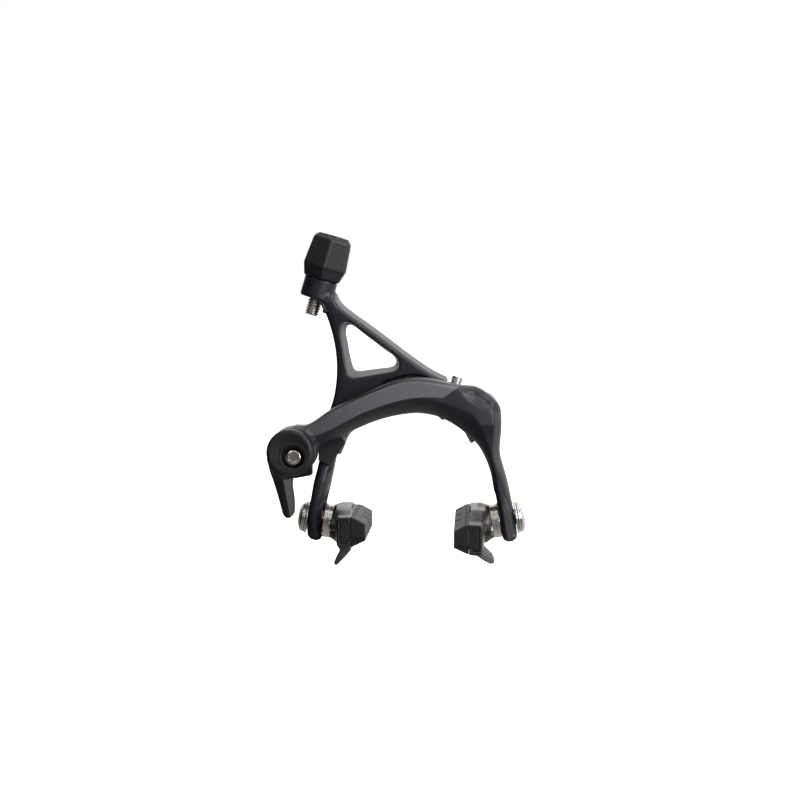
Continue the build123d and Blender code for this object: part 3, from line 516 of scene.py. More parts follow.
# ----------------------------------------------------------------------------
# outlines, front view (x, z)
# ----------------------------------------------------------------------------
ARM_FRONT, ARM_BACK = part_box("inner_arm")[0].y * 1000, -9.0
CROWN_FRONT, CROWN_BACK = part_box("release_spindle")[0].y * 1000, -21.0
ARM_FRONT = -19.3
EYE, BOLT, SIDE = ctr("release_spindle"), ctr("anchor_bolt"), ctr("side_pivot_pin")
SIDE.x, SIDE.z = 24.5, -5.5
HUB_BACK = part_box("inner_arm_bushing")[1].y * 1000

ia_top = [(-27.0, 36.2), (-26.0, 33.9), (-23.6, 31.3), (-18.5, 27.6), (-12.9, 23.6), (-7.6, 19.6),
          (-2.2, 15.5), (3.1, 11.7), (8.4, 8.4), (12.2, 6.6)]
ia_notch = [(12.2, 6.6), (12.8, 5.4), (11.9, 2.8), (10.2, 0.0), (9.9, -3.20)]
ia_tail = [(9.9, -3.20), (16.0, -5.18), (15.9, -6.4), (13.4, -7.5), (12.1, -8.3), (10.8, -8.4), (9.5, -7.3)]
ia_inner = [(9.5, -7.3), (4.8, -6.0), (0.0, -5.9), (-6.0, -6.0), (-13.0, -6.9), (-19.0, -9.5),
            (-23.6, -13.2), (-26.3, -18.5), (-27.7, -25.0), (-29.1, -31.5), (-30.3, -37.0),
            (-31.5, -42.0), (-31.7, -47.0), (-31.5, -49.6)]
ia_foot = [(-31.5, -49.6), (-32.5, -51.0), (-34.0, -51.35), (-35.9, -50.8), (-37.0, -49.4), (-37.2, -47.2)]
ia_left = [(-37.2, -47.2), (-36.9, -42.6), (-35.85, -36.0), (-34.6, -29.8), (-33.2, -24.2),
           (-32.4, -19.2), (-31.4, -13.0), (-29.9, -7.0), (-28.2, -2.0), (-27.1, 3.3),
           (-26.65, 10.0), (-27.3, 17.8), (-28.6, 23.6), (-30.2, 28.4), (-32.4, 33.2)]
win_near = [(-25.35, 24.0), (-25.0, 20.0), (-24.35, 16.0), (-23.65, 12.0), (-22.9, 8.6), (-22.3, 7.2), (-21.0, 6.55),
            (-18.6, 6.7), (-14.0, 7.45), (-9.5, 8.25), (-6.4, 8.85), (-4.75, 9.9), (-4.2, 11.6), (-4.9, 13.6), (-7.6, 16.0), (-13.0, 19.9),
            (-18.3, 23.8), (-21.6, 26.3), (-23.3, 26.9), (-24.8, 26.0)]
win_far = [(-23.5, 23.4), (-23.2, 20.0), (-22.55, 16.3), (-21.85, 13.0), (-21.1, 10.4), (-20.4, 9.2), (-19.2, 8.85),
           (-16.5, 9.05), (-13.0, 9.5), (-9.5, 9.9), (-7.6, 10.2), (-6.4, 10.9), (-6.0, 12.0), (-6.6, 13.4), (-9.0, 15.3), (-13.4, 18.6),
           (-18.0, 22.1), (-20.6, 24.2), (-21.9, 24.8), (-23.0, 24.5)]
oa_top = [(-40.6, -10.0), (-37.0, -9.7), (-33.3, -7.7), (-28.9, -4.6), (-21.8, -0.9), (-14.7, 2.4), (-7.6, 5.4),
          (-3.0, 6.7), (3.0, 7.15), (8.4, 6.5), (13.7, 5.25), (18.5, 4.45), (22.2, 4.2)]
oa_side = [(22.2, 4.2), (24.4, 3.35), (28.0, 0.8), (30.9, -2.3), (31.9, -6.5), (31.75, -13.4), (31.5, -19.6),
           (32.6, -24.6), (34.0, -29.6), (35.6, -37.0), (36.8, -42.8), (37.7, -48.2)]
oa_foot = [(37.7, -48.2), (37.6, -50.0), (36.4, -51.2), (34.6, -51.5), (33.0, -50.9), (32.2, -49.4)]
oa_inner = [(32.2, -49.4), (31.5, -44.5), (30.6, -39.1), (29.3, -32.8), (28.1, -26.5), (26.3, -21.6), (23.6, -16.8),
            (19.9, -13.0), (15.4, -9.6), (10.2, -6.8), (5.5, -5.5), (0.5, -5.5), (-5.7, -6.4),
            (-12.8, -8.4), (-19.8, -11.4), (-26.9, -14.8), (-32.2, -17.8), (-34.5, -20.2)]
band_pts = [(-30.9, -6.6), (-24.2, -3.0), (-17.7, 0.15), (-10.6, 3.2), (-3.7, 5.45), (3.0, 5.95), (10.0, 5.2), (16.9, 4.25),
            (11.6, 0.42), (6.85, 0.62), (-0.17, 0.14), (-3.68, -0.57), (-7.19, -1.53), (-10.7, -2.64), (-14.2, -3.95),
            (-17.7, -5.37), (-21.25, -7.28), (-24.8, -9.16), (-28.3, -10.94), (-32.0, -12.5), (-34.6, -12.9), (-36.8, -11.7), (-34.0, -8.9)]

BAR_T = rad(16.3)
BAR_DIR = (sin(BAR_T), 0, cos(BAR_T))
BAR_O = (-33.25, -14.0, 38.40)
SCR_T = rad(18.0)
SCR_DIR = (sin(SCR_T), 0, cos(SCR_T))
SCR_O = (16.1, -14.0, 5.9)
PAD_T = rad(9.3)
PAD_Y = -16.0
LEG_Z = {-1: -44.15, 1: -43.95}
SLOT_UP, SLOT_DN = 7.6, 1.6


def pad_st(side, X, Z):
    """Coordinates along the pad bolt (s, inboard) and up the leg (t), from x and z."""
    c, s = cos(PAD_T), sin(PAD_T)
    dx, dz = X - side * 34.3, Z - LEG_Z[side]
    return -side * dx * c - dz * s, -side * dx * s + dz * c


def leg_slot(F, G, side):
    """Cuts the slot and the flat washer seats for a pad bolt."""
    s, t = pad_st(side, G.X, G.Z)
    tc = np.clip(t, -SLOT_DN, SLOT_UP)
    r = np.sqrt((G.Y - PAD_Y) ** 2 + (t - tc) ** 2)
    F = rdif(F, r - 3.2, 0.35)
    seat = np.maximum(r - 6.4, np.minimum(2.8 - s, s + 2.8))
    return rdif(F, seat, 0.25)


HQ = 0.30
HF = 0.13

# ----------------------------------------------------------------------------
# inner arm
# ----------------------------------------------------------------------------
G = Field((-41, -24, -53), (17.5, -6, 44), HQ)
X, Y, Z = G.X, G.Y, G.Z
s_top, s_in, s_left = spl(ia_top), spl(ia_inner), spl(ia_left)
d2 = poly_d(X, Z, s_top + ia_notch[1:] + ia_tail[1:] + s_in[1:] + ia_foot[1:] + s_left[1:])
dtop = line_d(X, Z, [(-26.6, 41.0)] + s_top)
wtop = (1 - smooth(1.2, 3.4, dtop)) * smooth(-30.0, -27.0, X)
ty = np.clip((ARM_BACK - Y) / (ARM_BACK - ARM_FRONT), 0, 1)      # 0 at the back, 1 at the front
side = d2 + wtop * (1.15 * ty - 0.1)
lz = np.interp(Z.ravel(), [-53, -36, -30, -24.5, -20.5, 50], [-23.0, -23.0, -22.7, -21.2, ARM_FRONT, ARM_FRONT]).astype(f4)[None, None, :]
wleg = smooth(-18.0, -22.0, Z)
dleft = line_d(X, Z, s_left)
dright = line_d(X, Z, s_in)
dome = 0.55 * np.clip(1 - dleft / 3.5, 0, 1) ** 2 * (1 + 1.4 * wleg) + 0.5 * np.clip(1 - dright / 2.4, 0, 1) ** 2 * (1 + 0.6 * wleg)
dome = dome + 1.15 * np.clip(2.0 - dright, 0, 2.0) * smooth(-25.0, -28.0, Z) * smooth(-45.5, -42.5, Z) * 1.0
cc = (dleft - dright) / np.maximum(dleft + dright, 1e-3)
front = lz + dome + (0.50 * cc * cc + 0.95 * cc) * wleg * smooth(-50.5, -46.0, Z)
dwn = poly_d(X, Z, spl_loop(win_near))
dwf = poly_d(X, Z, spl_loop(win_far))
dome2 = 0.9 * np.clip(1.9 - dtop, 0, 1.9) * wtop + 0.12 * np.exp(-((dtop - 2.25) / 0.22) ** 2) * wtop
F = rint(side, front + dome2 - Y, 0.9)
F = rint(F, Y - ARM_BACK, 0.7)
# a raised shoulder runs from the window's right corner to the tail
rib = line_d(X, Z, spl([(-5.5, 7.6), (-1.0, 8.9), (4.0, 8.2), (9.0, 5.6), (12.0, 3.6)]))
sink = poly_d(X, Z, [(-3.0, 7.4), (1.0, 7.9), (5.0, 7.0), (9.0, 4.6), (9.5, -3.0), (4.0, -5.0), (-6.0, -5.0), (-16.0, -1.0), (-9.0, 5.5)])
F = rdif(F, rint(sink, Y - (ARM_FRONT + 1.3), 0.3), 0.5)
# hub towards the fork
F = runi(F, rint(circ(X, Z, 0, 0, 5.8), band(Y, -13.0, HUB_BACK), 0.4), 0.8)
# barrel boss, blended into the neck
u = (X - BAR_O[0]) * cos(BAR_T) - (Z - BAR_O[2]) * sin(BAR_T)
w = (X - BAR_O[0]) * sin(BAR_T) + (Z - BAR_O[2]) * cos(BAR_T)
rb = np.sqrt(u * u + (Y - BAR_O[1]) ** 2)
boss = rint(rb - 5.9, band(w, -3.9, 5.0), 0.75)
F = runi(F, boss, 2.2)
F = np.maximum(F, w - 3.3)
F = rint(F, w - 3.3, 0.22)
# window with drafted walls and a rolled rim
tw = np.clip((Y + 8.0) / (ARM_FRONT - 0.2 + 8.0), 0, 1)
dwin = dwf * (1 - tw) + dwn * tw
F = rdif(F, dwin, 0.55)
# hub bore and the pocket for the lock nut
F = rdif(F, circ(X, Z, 0, 0, 4.4), 0.2)
F = rdif(F, np.maximum(circ(X, Z, 0, 0, 5.5), Y + 16.6), 0.3)
F = rdif(F, rb - 2.55 - 0.35 * np.clip((np.abs(w + 0.3) - 3.1) / 0.5, 0, 1), 0.0)
F = leg_slot(F, G, -1)
solid("inner_arm_forging", F, G, "arm_paint", ["inner_arm"], smooth_it=2)

# ----------------------------------------------------------------------------
# outer arm
# ----------------------------------------------------------------------------
G = Field((-51, -32, -53), (39, -6, 9), HQ)
X, Y, Z = G.X, G.Y, G.Z
s_top, s_side, s_in = spl(oa_top), spl(oa_side), spl(oa_inner)
outer = s_top + s_side[1:]
d2 = poly_d(X, Z, outer + oa_foot[1:] + s_in[1:] + [(-40.0, -22.0), (-45.0, -16.0)])
a = line_d(X, Z, outer)
b = line_d(X, Z, s_in)
f = a / np.maximum(a + b, 1e-3)
wr = smooth(15, 23, X)                             # right shoulder and leg
wl = wr * (1 - smooth(-33, -16, Z))                # 1 on the lower leg
rx = smooth(10, 20, X)
legf = np.interp(Z.ravel(), [-53, -38, -30, -22, -15, -9, 10], [-23.0, -23.2, -24.4, -26.8, -29.6, -31.0, -31.0]).astype(f4)[None, None, :]
legb = np.interp(Z.ravel(), [-53, -34, -27, -20, -14.5, -12.5, 10], [-9.0, -9.0, -11.0, -15.0, -20.0, -21.0, -21.0]).astype(f4)[None, None, :]
base_f = -31.0 * (1 - rx) + legf * rx
base_b = CROWN_BACK * (1 - rx) + legb * rx
# facets of the front face: outer facet, shallow upper facet, ridge, rolled lower facet
wo = 1.5 + 1.7 * wr * (1 - wl)
do = 1.5 + 1.5 * wr * (1 - wl)
ridge = 0.56 + 0.12 * wl
up = np.clip(1 - f / ridge, 0, 1)
lo = np.clip((f - ridge) / (1 - ridge), 0, 1)
dlo = 5.3 * (1 - wl) + 1.7 * wl
drop = do * np.clip(1 - a / wo, 0, 1) ** 1.3 + 0.95 * up + dlo * (0.18 * lo + 0.82 * lo ** 2)
sc_u = ((X - 24.2) * 0.838 - (Z - 0.4) * 0.546) / 6.5
sc_v = ((X - 24.2) * 0.546 + (Z - 0.4) * 0.838) / 1.9
scoop = poly_d(X, Z, [(17.4, 3.9), (22.6, 3.2), (27.9, -0.3), (29.3, -3.8), (24.4, -3.1), (20.9, -1.3), (18.2, 1.0)])
drop = drop + 0.75 * np.exp(-(sc_u ** 2 + sc_v ** 2)) + 0.55 * np.clip(-scoop, 0, 1.6) * wr
side_f = np.clip(2.6 - a, 0, 2.6) * smooth(-1.0, -6.0, Z) * (1 - smooth(-32.0, -40.0, Z)) * wr
drop = drop + 0.85 * side_f
front = base_f + drop
F = rint(d2, (front - Y) * 0.86, 0.7)
F = rint(F, Y - base_b, 0.8)
# eye for the quick-release spindle
ECX, ECZ = EYE.x + 0.6, EYE.z - 0.3
eye = rint(circ(X, Z, ECX, ECZ, 8.5), band(Y, -30.8, -18.2), 0.6)
F = runi(F, eye, 1.6)
# boss back to the side pivot and the lug with the centring screw
F = runi(F, rint(circ(X, Z, SIDE.x, SIDE.z, 6.4), band(Y, -22.5, HUB_BACK), 0.5), 1.5)
u = (X - SCR_O[0]) * cos(SCR_T) - (Z - SCR_O[2]) * sin(SCR_T)
w = (X - SCR_O[0]) * sin(SCR_T) + (Z - SCR_O[2]) * cos(SCR_T)
lug = rint(rint(np.abs(u) - 2.7, band(Y, -22.0, -9.6), 0.8), band(w, -7.2, -2.0), 0.5)
F = runi(F, lug, 1.0)
# bores
F = rdif(F, circ(X, Z, EYE.x, EYE.z, 5.96), 0.25)
F = rdif(F, np.maximum(circ(X, Z, SIDE.x, SIDE.z, 4.7), -27.5 - Y), 0.2)
rs = np.sqrt(u * u + (Y + 14.0) ** 2)
F = rdif(F, np.maximum(rs - 2.04, band(w, -16, 4)), 0.25)
F = leg_slot(F, G, 1)


def band_attr(V):
    x, z = V[:, 0].astype(f4), V[:, 2].astype(f4)
    loop = spl([band_pts[0]] + band_pts[1:8], 6) + spl(band_pts[8:], 6)
    d = poly_d(x, z, loop)
    return {"band_mm": np.where(V[:, 1] < -25.5, d, 5.0)}


solid("outer_arm_forging", F, G, "arm_paint_band", ["outer_arm"], smooth_it=2, attr=band_attr)

# ----------------------------------------------------------------------------
# barrel adjuster
# ----------------------------------------------------------------------------
AX = axes_from(BAR_DIR, (0, 1, 0))


def hexr(G, prof_t, prof_r, corner):
    """Distance to a six-sided body whose corner radius follows a profile."""
    R = np.interp(G.Z.ravel(), prof_t, prof_r).astype(f4)[None, None, :]
    d = ngon(G.X, G.Y, 0.0, 6, 30.0)
    ap = d - R * 0.866
    return rint(ap, G.rr() - R * corner, 0.35), R


G = Field((-9.2, -9.2, 3.1), (9.2, 9.2, 19.6), HF * 1.05, BAR_O, AX)
kt = [3.38, 7.6, 8.2, 17.2, 17.9, 19.3]
kr = [7.25, 8.70, 8.74, 7.78, 7.55, 6.15]
ap, R = hexr(G, kt, kr, 0.972)
zt = G.Z
# fine ribs down each face, between a plain margin at the corners
rib = None
for i in range(6):
    t = rad(60 * i + 30)
    nx, ny = cos(t), sin(t)
    along = -G.X * ny + G.Y * nx
    up = G.X * nx + G.Y * ny
    on = (up > 0.82 * G.rr()) & (np.abs(along) < 0.40 * R)
    v = np.where(on, 0.5 + 0.5 * np.cos(2 * pi * along / 0.86), 0)
    rib = v if rib is None else np.maximum(rib, v)
pan = smooth(5.0, 6.6, zt) * (1 - smooth(16.6, 17.6, zt))
F = rint(ap + 0.17 * rib * pan, band(zt, 3.38, 19.3), 0.5)
# shallow notches round the top and the rim under it
ang = np.arctan2(G.Y, G.X)
ntc = np.abs(((ang * 12 / (2 * pi)) % 1.0) - 0.5) * 2
F = rdif(F, np.maximum(np.maximum(18.75 - zt, 5.0 - G.rr()), (0.30 - ntc) * 1.2), 0.12)
F = rdif(F, np.maximum(G.rr() - 3.9, 8.0 - zt), 0.15)
F = rdif(F, np.maximum(G.rr() - 4.5, 18.7 - zt), 0.2)
F = rdif(F, G.rr() - 2.5, 0.0)
solid("adjuster_knob_moulding", F, G, "knob_plastic", ["adjuster_knob"], smooth_it=1)

G = Field((-4, -4, -10.1), (4, 4, 15.7), HF, BAR_O, AX)
F = np.maximum(G.rr() - thread(G, 2.5, 0.95, 0.42, -10.2, 3.2, 0.5), band(G.Z, -10.0, 10.0))
F = rint(F, G.rr() - (2.05 + (G.Z + 10.0)), 0.1)
F = np.minimum(F, rint(G.rr() - 3.88, band(G.Z, 8.0, 15.6), 0.3))
F = rdif(F, np.maximum(G.rr() - 1.1, -11 - G.Z), 0.2)
F = rdif(F, np.maximum(G.rr() - 3.15, 10.5 - G.Z), 0.15)
solid("adjuster_barrel_turned", F, G, "steel", ["adjuster_barrel"])

G = Field((-4, -4, 10.5), (4, 4, 17), HF, BAR_O, AX)
F = runi(cyl(G, 3.1, 10.6, 16.0, 0.2), cyl(G, 3.7, 15.65, 16.85, 0.3), 0.15)
F = rdif(F, np.maximum(G.rr() - 2.6, 11.4 - G.Z), 0.25)
F = rdif(F, G.rr() - 0.9, 0.15)
solid("housing_seat_turned", F, G, "steel", ["housing_seat"])

# ----------------------------------------------------------------------------
# quick release: lever, spindle, ring, anchor bolt and its clamp
# ----------------------------------------------------------------------------
lev_l = [(-50.0, -20.9), (-49.4, -24.0), (-47.6, -30.0), (-45.9, -35.7), (-44.7, -40.2)]
lev_tip = [(-44.7, -40.2), (-43.7, -41.45), (-42.6, -41.7), (-41.3, -40.9), (-40.6, -39.6)]
lev_r = [(-40.6, -39.6), (-40.6, -35.7), (-41.0, -32.1), (-41.2, -28.9), (-40.4, -26.2)]
G = Field((-51, -36.8, -42.3), (-33.5, -30.6, -10), HF * 1.2)
X, Y, Z = G.X, G.Y, G.Z
d_arm = poly_d(X, Z, spl(lev_l) + spl(lev_tip, 5)[1:] + spl(lev_r)[1:] + [(-42.0, -19.0)])
d_head = circ(X, Z, EYE.x, EYE.z, 8.1)
RX, RZ = BOLT.x, BOLT.z + 0.5
rr = circ(X, Z, RX, RZ, 0)
# the head stands proud and dishes gently towards the recess; the arm has a ridge and a cut-back right side
hd = np.clip(-d_head, 0, 9)
head_f = -36.3 + 0.55 * np.clip(1 - hd / 1.3, 0, 1) ** 2 + 0.55 * np.clip((hd - 1.0) / 4.0, 0, 1)
head = rint(d_head, head_f - Y, 0.35)
lip = np.maximum(np.abs(rr - 4.55) - 0.45, -35.95 + 0.0 - Y)
head = runi(head, rint(np.abs(rr - 4.5) - 0.42, -35.95 - Y, 0.3), 0.35)
e0, e1 = (-44.3, -28.4), (-42.3, -39.4)
L = math.hypot(e1[0] - e0[0], e1[1] - e0[1])
nrx, nrz = -(e1[1] - e0[1]) / L, (e1[0] - e0[0]) / L
right = (X - e0[0]) * nrx + (Z - e0[1]) * nrz
step = np.clip(right, 0, 3) * 0.62 * smooth(-27.2, -28.6, Z + 0.35 * (X + 44.3) * -1)
left = 0.28 * np.clip(-right - 0.2, 0, 5) ** 1.15 * smooth(-25.0, -29.0, Z)
arm = rint(d_arm, -35.8 + step + left - Y, 0.45)
F = runi(head, arm, 0.7)
F = rint(F, Y + np.where(d_head < 0, 31.0, 31.6), 0.3)
F = rdif(F, rr - 4.1, 0.2)
solid("release_lever_moulding", F, G, "black_plastic", ["release_lever"], smooth_it=1)

YA = axes_from((0, 1, 0), (1, 0, 0))      # local z runs to the rear


def yfield(c, r, y0, y1, h):
    return Field((-r, -r, y0), (r, r, y1), h, (c[0], 0, c[1]), YA)


G = yfield((EYE.x, EYE.z), 6.1, -31.0, -17.6, HF * 1.2)
F = cyl(G, 5.9, -31.0, -17.7, 0.25)
bx, by = (Vector((BOLT.x - EYE.x, 0, BOLT.z - EYE.z)) @ Vector(YA[0])), (Vector((BOLT.x - EYE.x, 0, BOLT.z - EYE.z)) @ Vector(YA[1]))
F = rdif(F, np.sqrt((G.X - bx) ** 2 + (G.Y - by) ** 2) - 2.96, 0.2)
solid("release_spindle_turned", F, G, "dark_steel", ["release_spindle"])

G = yfield((EYE.x, EYE.z), 7.0, -18.3, -17.6, 0.11)
F = rint(np.maximum(G.rr() - 6.9, 5.9 - G.rr()), band(G.Z, -18.15, -17.75), 0.1)
F = np.maximum(F, -(np.maximum(np.abs(G.X) - 0.9, -G.Y)))
solid("spindle_ring_pressed", F, G, "spring_steel", ["spindle_ring"])

G = yfield((BOLT.x, BOLT.z), 3.1, -34.1, -8.5, HF)
F = np.maximum(G.rr() - thread(G, 2.9, 0.8, 0.38, -24.0, -8.4, 0.8), band(G.Z, -34.0, -8.6))
F = rint(F, G.rr() - (2.35 - (G.Z + 8.6)), 0.1)
dome = np.sqrt(G.rr() ** 2 + (G.Z + 25.0) ** 2) - 9.05
F = rint(F, np.where(G.Z < -28, dome, -1.0), 0.4)
F = rdif(F, np.maximum(ngon(G.X, G.Y, 1.5, 6, 0), G.Z + 31.0), 0.12)
solid("anchor_bolt_turned", F, G, "polished", ["anchor_bolt"])

plate = [(-46.6, -15.6), (-37.0, -15.6), (-35.6, -17.2), (-35.6, -28.1), (-36.3, -28.7), (-44.4, -30.2), (-46.6, -27.6)]
G = Field((-47, -17.5, -30.6), (-35.2, -13.1, -15.2), HF * 1.15)
X, Y, Z = G.X, G.Y, G.Z
F = rint(poly_d(X, Z, plate), band(Y, -17.2, -13.4), 0.4)
F = rdif(F, circ(X, Z, BOLT.x, BOLT.z, 2.9), 0.2)
gr = np.maximum(np.abs(X - (BOLT.x - 4.0)) - 0.85, -14.15 - Y)
teeth = 0.12 * (0.5 + 0.5 * np.cos(2 * pi * Z / 0.9))
F = rdif(F, gr - teeth, 0.12)
F = rdif(F, np.maximum(circ(X, Z, -38.2, -28.6, 1.1), -16.2 - Y), 0.15)
solid("cable_clamp_plate_forged", F, G, "dark_steel", ["cable_clamp_plate"])

G = yfield((BOLT.x, BOLT.z), 6.2, -13.5, -9.2, HF)
F = rint(ngon(G.X, G.Y, 4.85, 6, 0), band(G.Z, -13.0, -9.4), 0.25)
F = rint(F, G.rr() - (5.55 - 0.9 * (G.Z + 10.4)), 0.12)
F = runi(F, rint(G.rr() - 6.0, band(G.Z, -13.38, -12.4), 0.25), 0.3)
F = rdif(F, G.rr() - (2.9 + 0.5 * np.clip(np.abs(G.Z + 11.4) - 1.6, 0, 0.5)), 0)
solid("anchor_nut_forged", F, G, "steel", ["anchor_nut"])

# ----------------------------------------------------------------------------
# centring screw
# ----------------------------------------------------------------------------
SA = axes_from(SCR_DIR, (0, 1, 0))
G = Field((-2.2, -2.2, -10.3), (2.2, 2.2, 1.1), 0.10, SCR_O, SA)
F = np.maximum(G.rr() - thread(G, 2.0, 0.7, 0.32, -10.2, -0.2, 0.5), band(G.Z, -10.1, 0.9))
F = rint(F, G.rr() - (1.5 + (G.Z + 10.1)), 0.1)
F = rint(F, G.rr() - np.where(G.Z > 0, 1.9, 5), 0.15)
F = rdif(F, np.maximum(ngon(G.X, G.Y, 1.0, 6, 30), -1.2 - G.Z), 0.08)
solid("centring_screw_turned", F, G, "zinc", ["centring_screw"])

# ----------------------------------------------------------------------------
# pivots and their hardware
# ----------------------------------------------------------------------------
G = yfield((0, 0), 4.9, -20.2, 22.2, HF * 1.1)
F = np.maximum(G.rr() - thread(G, 3.0, 1.0, 0.52, 3.5, 22.6, 1.0), band(G.Z, -20.0, 22.0))
F = rint(F, G.rr() - (2.4 + (22.0 - G.Z)), 0.1)
F = np.maximum(F, G.rr() - (2.5 + (G.Z + 20.0)))
F = runi(F, rint(G.rr() - 4.7, band(G.Z, -6.6, -4.7), 0.25), 0.2)
F = rdif(F, np.maximum(np.maximum(2.6 - G.rr(), band(G.Z, -1.2, 0.0)), G.rr() - 4.2), 0.1)
F = rdif(F, np.maximum(ngon(G.X, G.Y, 1.3, 6, 0), G.Z + 17.5), 0.1)
solid("centre_bolt_turned", F, G, "steel", ["centre_bolt"])

G = yfield((0, 0), 5.9, -20.0, -17.2, HF)
F = rint(ngon(G.X, G.Y, 4.33, 6, 0), band(G.Z, -19.8, -17.4), 0.15)
F = rint(F, G.rr() - (4.88 + (G.Z + 19.5) * 1.2), 0.1)
F = rdif(F, G.rr() - (3.0 + 0.6 * np.clip(-19.4 - G.Z, 0, 1)), 0)
solid("pivot_nut_forged", F, G, "dark_steel", ["pivot_nut"])

G = yfield((0, 0), 5.8, -17.5, -6.4, HF)
wsh = np.maximum(G.rr() - 4.9, 3.0 - G.rr())
F = np.minimum(rint(wsh, band(G.Z, -7.2, -6.65), 0.15), rint(wsh, band(G.Z, -17.35, -16.7), 0.15))
solid("thrust_washers_pressed", F, G, "steel", ["thrust_washers"])

G = yfield((0, 0), 9.1, -2.2, 0.2, HF)
up_z = G.Y * YA[1][2] + G.X * YA[0][2]      # row z
xx = G.X * YA[0][0] + G.Y * YA[1][0]        # row x
F = rint(G.rr() - 7.0, band(G.Z, -2.0, 0.0), 0.3)
F = rdif(F, np.sqrt(xx ** 2 + (G.Z - 16.0) ** 2) - 16.6, 0.2)
F = rdif(F, G.rr() - 3.0, 0.15)
F = rdif(F, np.maximum(np.abs((np.arctan2(G.Y, G.X) * 24 / (2 * pi)) % 1.0 - 0.5) * 2.2 - 0.35, 6.75 - G.rr()), 0.05)
solid("spacer_washer_knurled", F, G, "alloy_black", ["spacer_washer"])

br = [(-11.3, 0.9), (1.0, 6.7), (25.8, 0.75), (23.2, -11.75), (12.0, -7.4), (0, -6.2), (-10.4, -6.8)]
G = Field((-15, -8.3, -12.4), (31.2, -1.8, 7.2), 0.22)
X, Y, Z = G.X, G.Y, G.Z
d = runi(poly_d(X, Z, br), circ(X, Z, -10.5, -3.0, 4.0), 1.0)
d = runi(d, circ(X, Z, SIDE.x, SIDE.z, 6.4), 1.0)
d = runi(d, circ(X, Z, 0, 0, 6.3), 1.0)
F = rint(d, band(Y, -4.6, -2.0), 0.35)
F = rdif(F, np.maximum(poly_d(X, Z, [(5.5, 0.8), (15.5, -0.6), (15.8, -5.0), (6.6, -3.6)]) + 0.8, -3.2 - Y), 0.4)
F = runi(F, rint(circ(X, Z, SIDE.x, SIDE.z, 6.2), band(Y, -6.8, -3.0), 0.3), 0.3)
for px, pz in ((-10.5, -3.0), (12.0, -4.2)):
    F = runi(F, rint(circ(X, Z, px, pz, 2.1), band(Y, -8.1, -4.0), 0.35), 0.3)
F = rdif(F, circ(X, Z, 0, 0, 3.0), 0.1)
F = rdif(F, circ(X, Z, SIDE.x, SIDE.z, 3.5), 0.1)
solid("pivot_bracket_forged", F, G, "dark_steel", ["pivot_bracket"], smooth_it=1)

G = yfield((SIDE.x, SIDE.z), 5.2, -26.8, -0.4, HF * 1.1)
F = cyl(G, 3.5, -26.6, -0.6, 0.5)
F = runi(F, rint(G.rr() - 5.0, band(G.Z, -2.0, -0.6), 0.35), 0.2)
F = rdif(F, np.maximum(ngon(G.X, G.Y, 2.0, 6, 0), -3.2 - G.Z), 0.15)
solid("side_pivot_pin_turned", F, G, "steel", ["side_pivot_pin"])

for nm, c, y0, y1, r0, r1 in (("inner_arm_bushing", (0, 0), HUB_BACK - 9.2, HUB_BACK, 3.04, 4.4),
                              ("outer_arm_bushing", (SIDE.x, SIDE.z), HUB_BACK - 19.6, HUB_BACK, 3.54, 4.7)):
    G = yfield(c, r1 + 0.2, y0 - 0.2, y1 + 0.2, HF * 1.2)
    F = rint(G.rr() - r1, band(G.Z, y0, y1), 0.15)
    F = rdif(F, G.rr() - r0, 0.12)
    solid(nm + "_sintered", F, G, "bronze", [nm])


# ----------------------------------------------------------------------------
# return spring
# ----------------------------------------------------------------------------
def tube(name, pts, r, mat, node, n=20, per=6, ends=True):
    P = np.array(pts, float)
    m = len(P)
    s = np.concatenate([[0], np.cumsum(np.linalg.norm(np.diff(P, axis=0), axis=1))])
    # natural cubic through the points, axis by axis
    h = np.diff(s)
    A = np.zeros((m, m))
    B = np.zeros((m, 3))
    A[0, 0] = A[-1, -1] = 1
    for i in range(1, m - 1):
        A[i, i - 1], A[i, i], A[i, i + 1] = h[i - 1], 2 * (h[i - 1] + h[i]), h[i]
        B[i] = 6 * ((P[i + 1] - P[i]) / h[i] - (P[i] - P[i - 1]) / h[i - 1])
    M = np.linalg.solve(A, B)
    C = []
    for i in range(m - 1):
        for k in range(per):
            t = h[i] * k / per
            C.append(M[i] * (h[i] - t) ** 3 / (6 * h[i]) + M[i + 1] * t ** 3 / (6 * h[i])
                     + (P[i] / h[i] - M[i] * h[i] / 6) * (h[i] - t) + (P[i + 1] / h[i] - M[i + 1] * h[i] / 6) * t)
    C.append(P[-1])
    C = np.array(C)
    T_ = np.gradient(C, axis=0)
    T_ /= np.linalg.norm(T_, axis=1)[:, None]
    N = np.cross(T_[0], (0, 0, 1))
    if np.linalg.norm(N) < 1e-3:
        N = np.cross(T_[0], (1, 0, 0))
    V, Q = [], []
    prev = N / np.linalg.norm(N)
    frames = []
    for i in range(len(C)):
        prev = prev - T_[i] * (prev @ T_[i])
        prev /= np.linalg.norm(prev)
        frames.append(prev.copy())
    order = [(0, 0.0, 0.5), (0, r * 0.28, 0.86)]
    body = [(i, 0.0, 1.0) for i in range(1, len(C) - 1)]
    order += body + [(len(C) - 1, -r * 0.28, 0.86), (len(C) - 1, 0.0, 0.5)]
    for i, sh, k in order:
        c = C[i] + T_[i] * sh
        u_ = frames[i]
        v_ = np.cross(T_[i], u_)
        for j in range(n):
            a_ = 2 * pi * j / n
            V.append(c + (u_ * cos(a_) + v_ * sin(a_)) * r * k)
    R_ = len(order)
    for i in range(R_ - 1):
        for j in range(n):
            q = (i * n + j, i * n + (j + 1) % n, (i + 1) * n + (j + 1) % n, (i + 1) * n + j)
            Q.append(q)
    Q.append(tuple(reversed(range(n))))
    Q.append(tuple(range((R_ - 1) * n, R_ * n)))
    return mesh_object(name, V, Q, mat, [node], sharp=60)


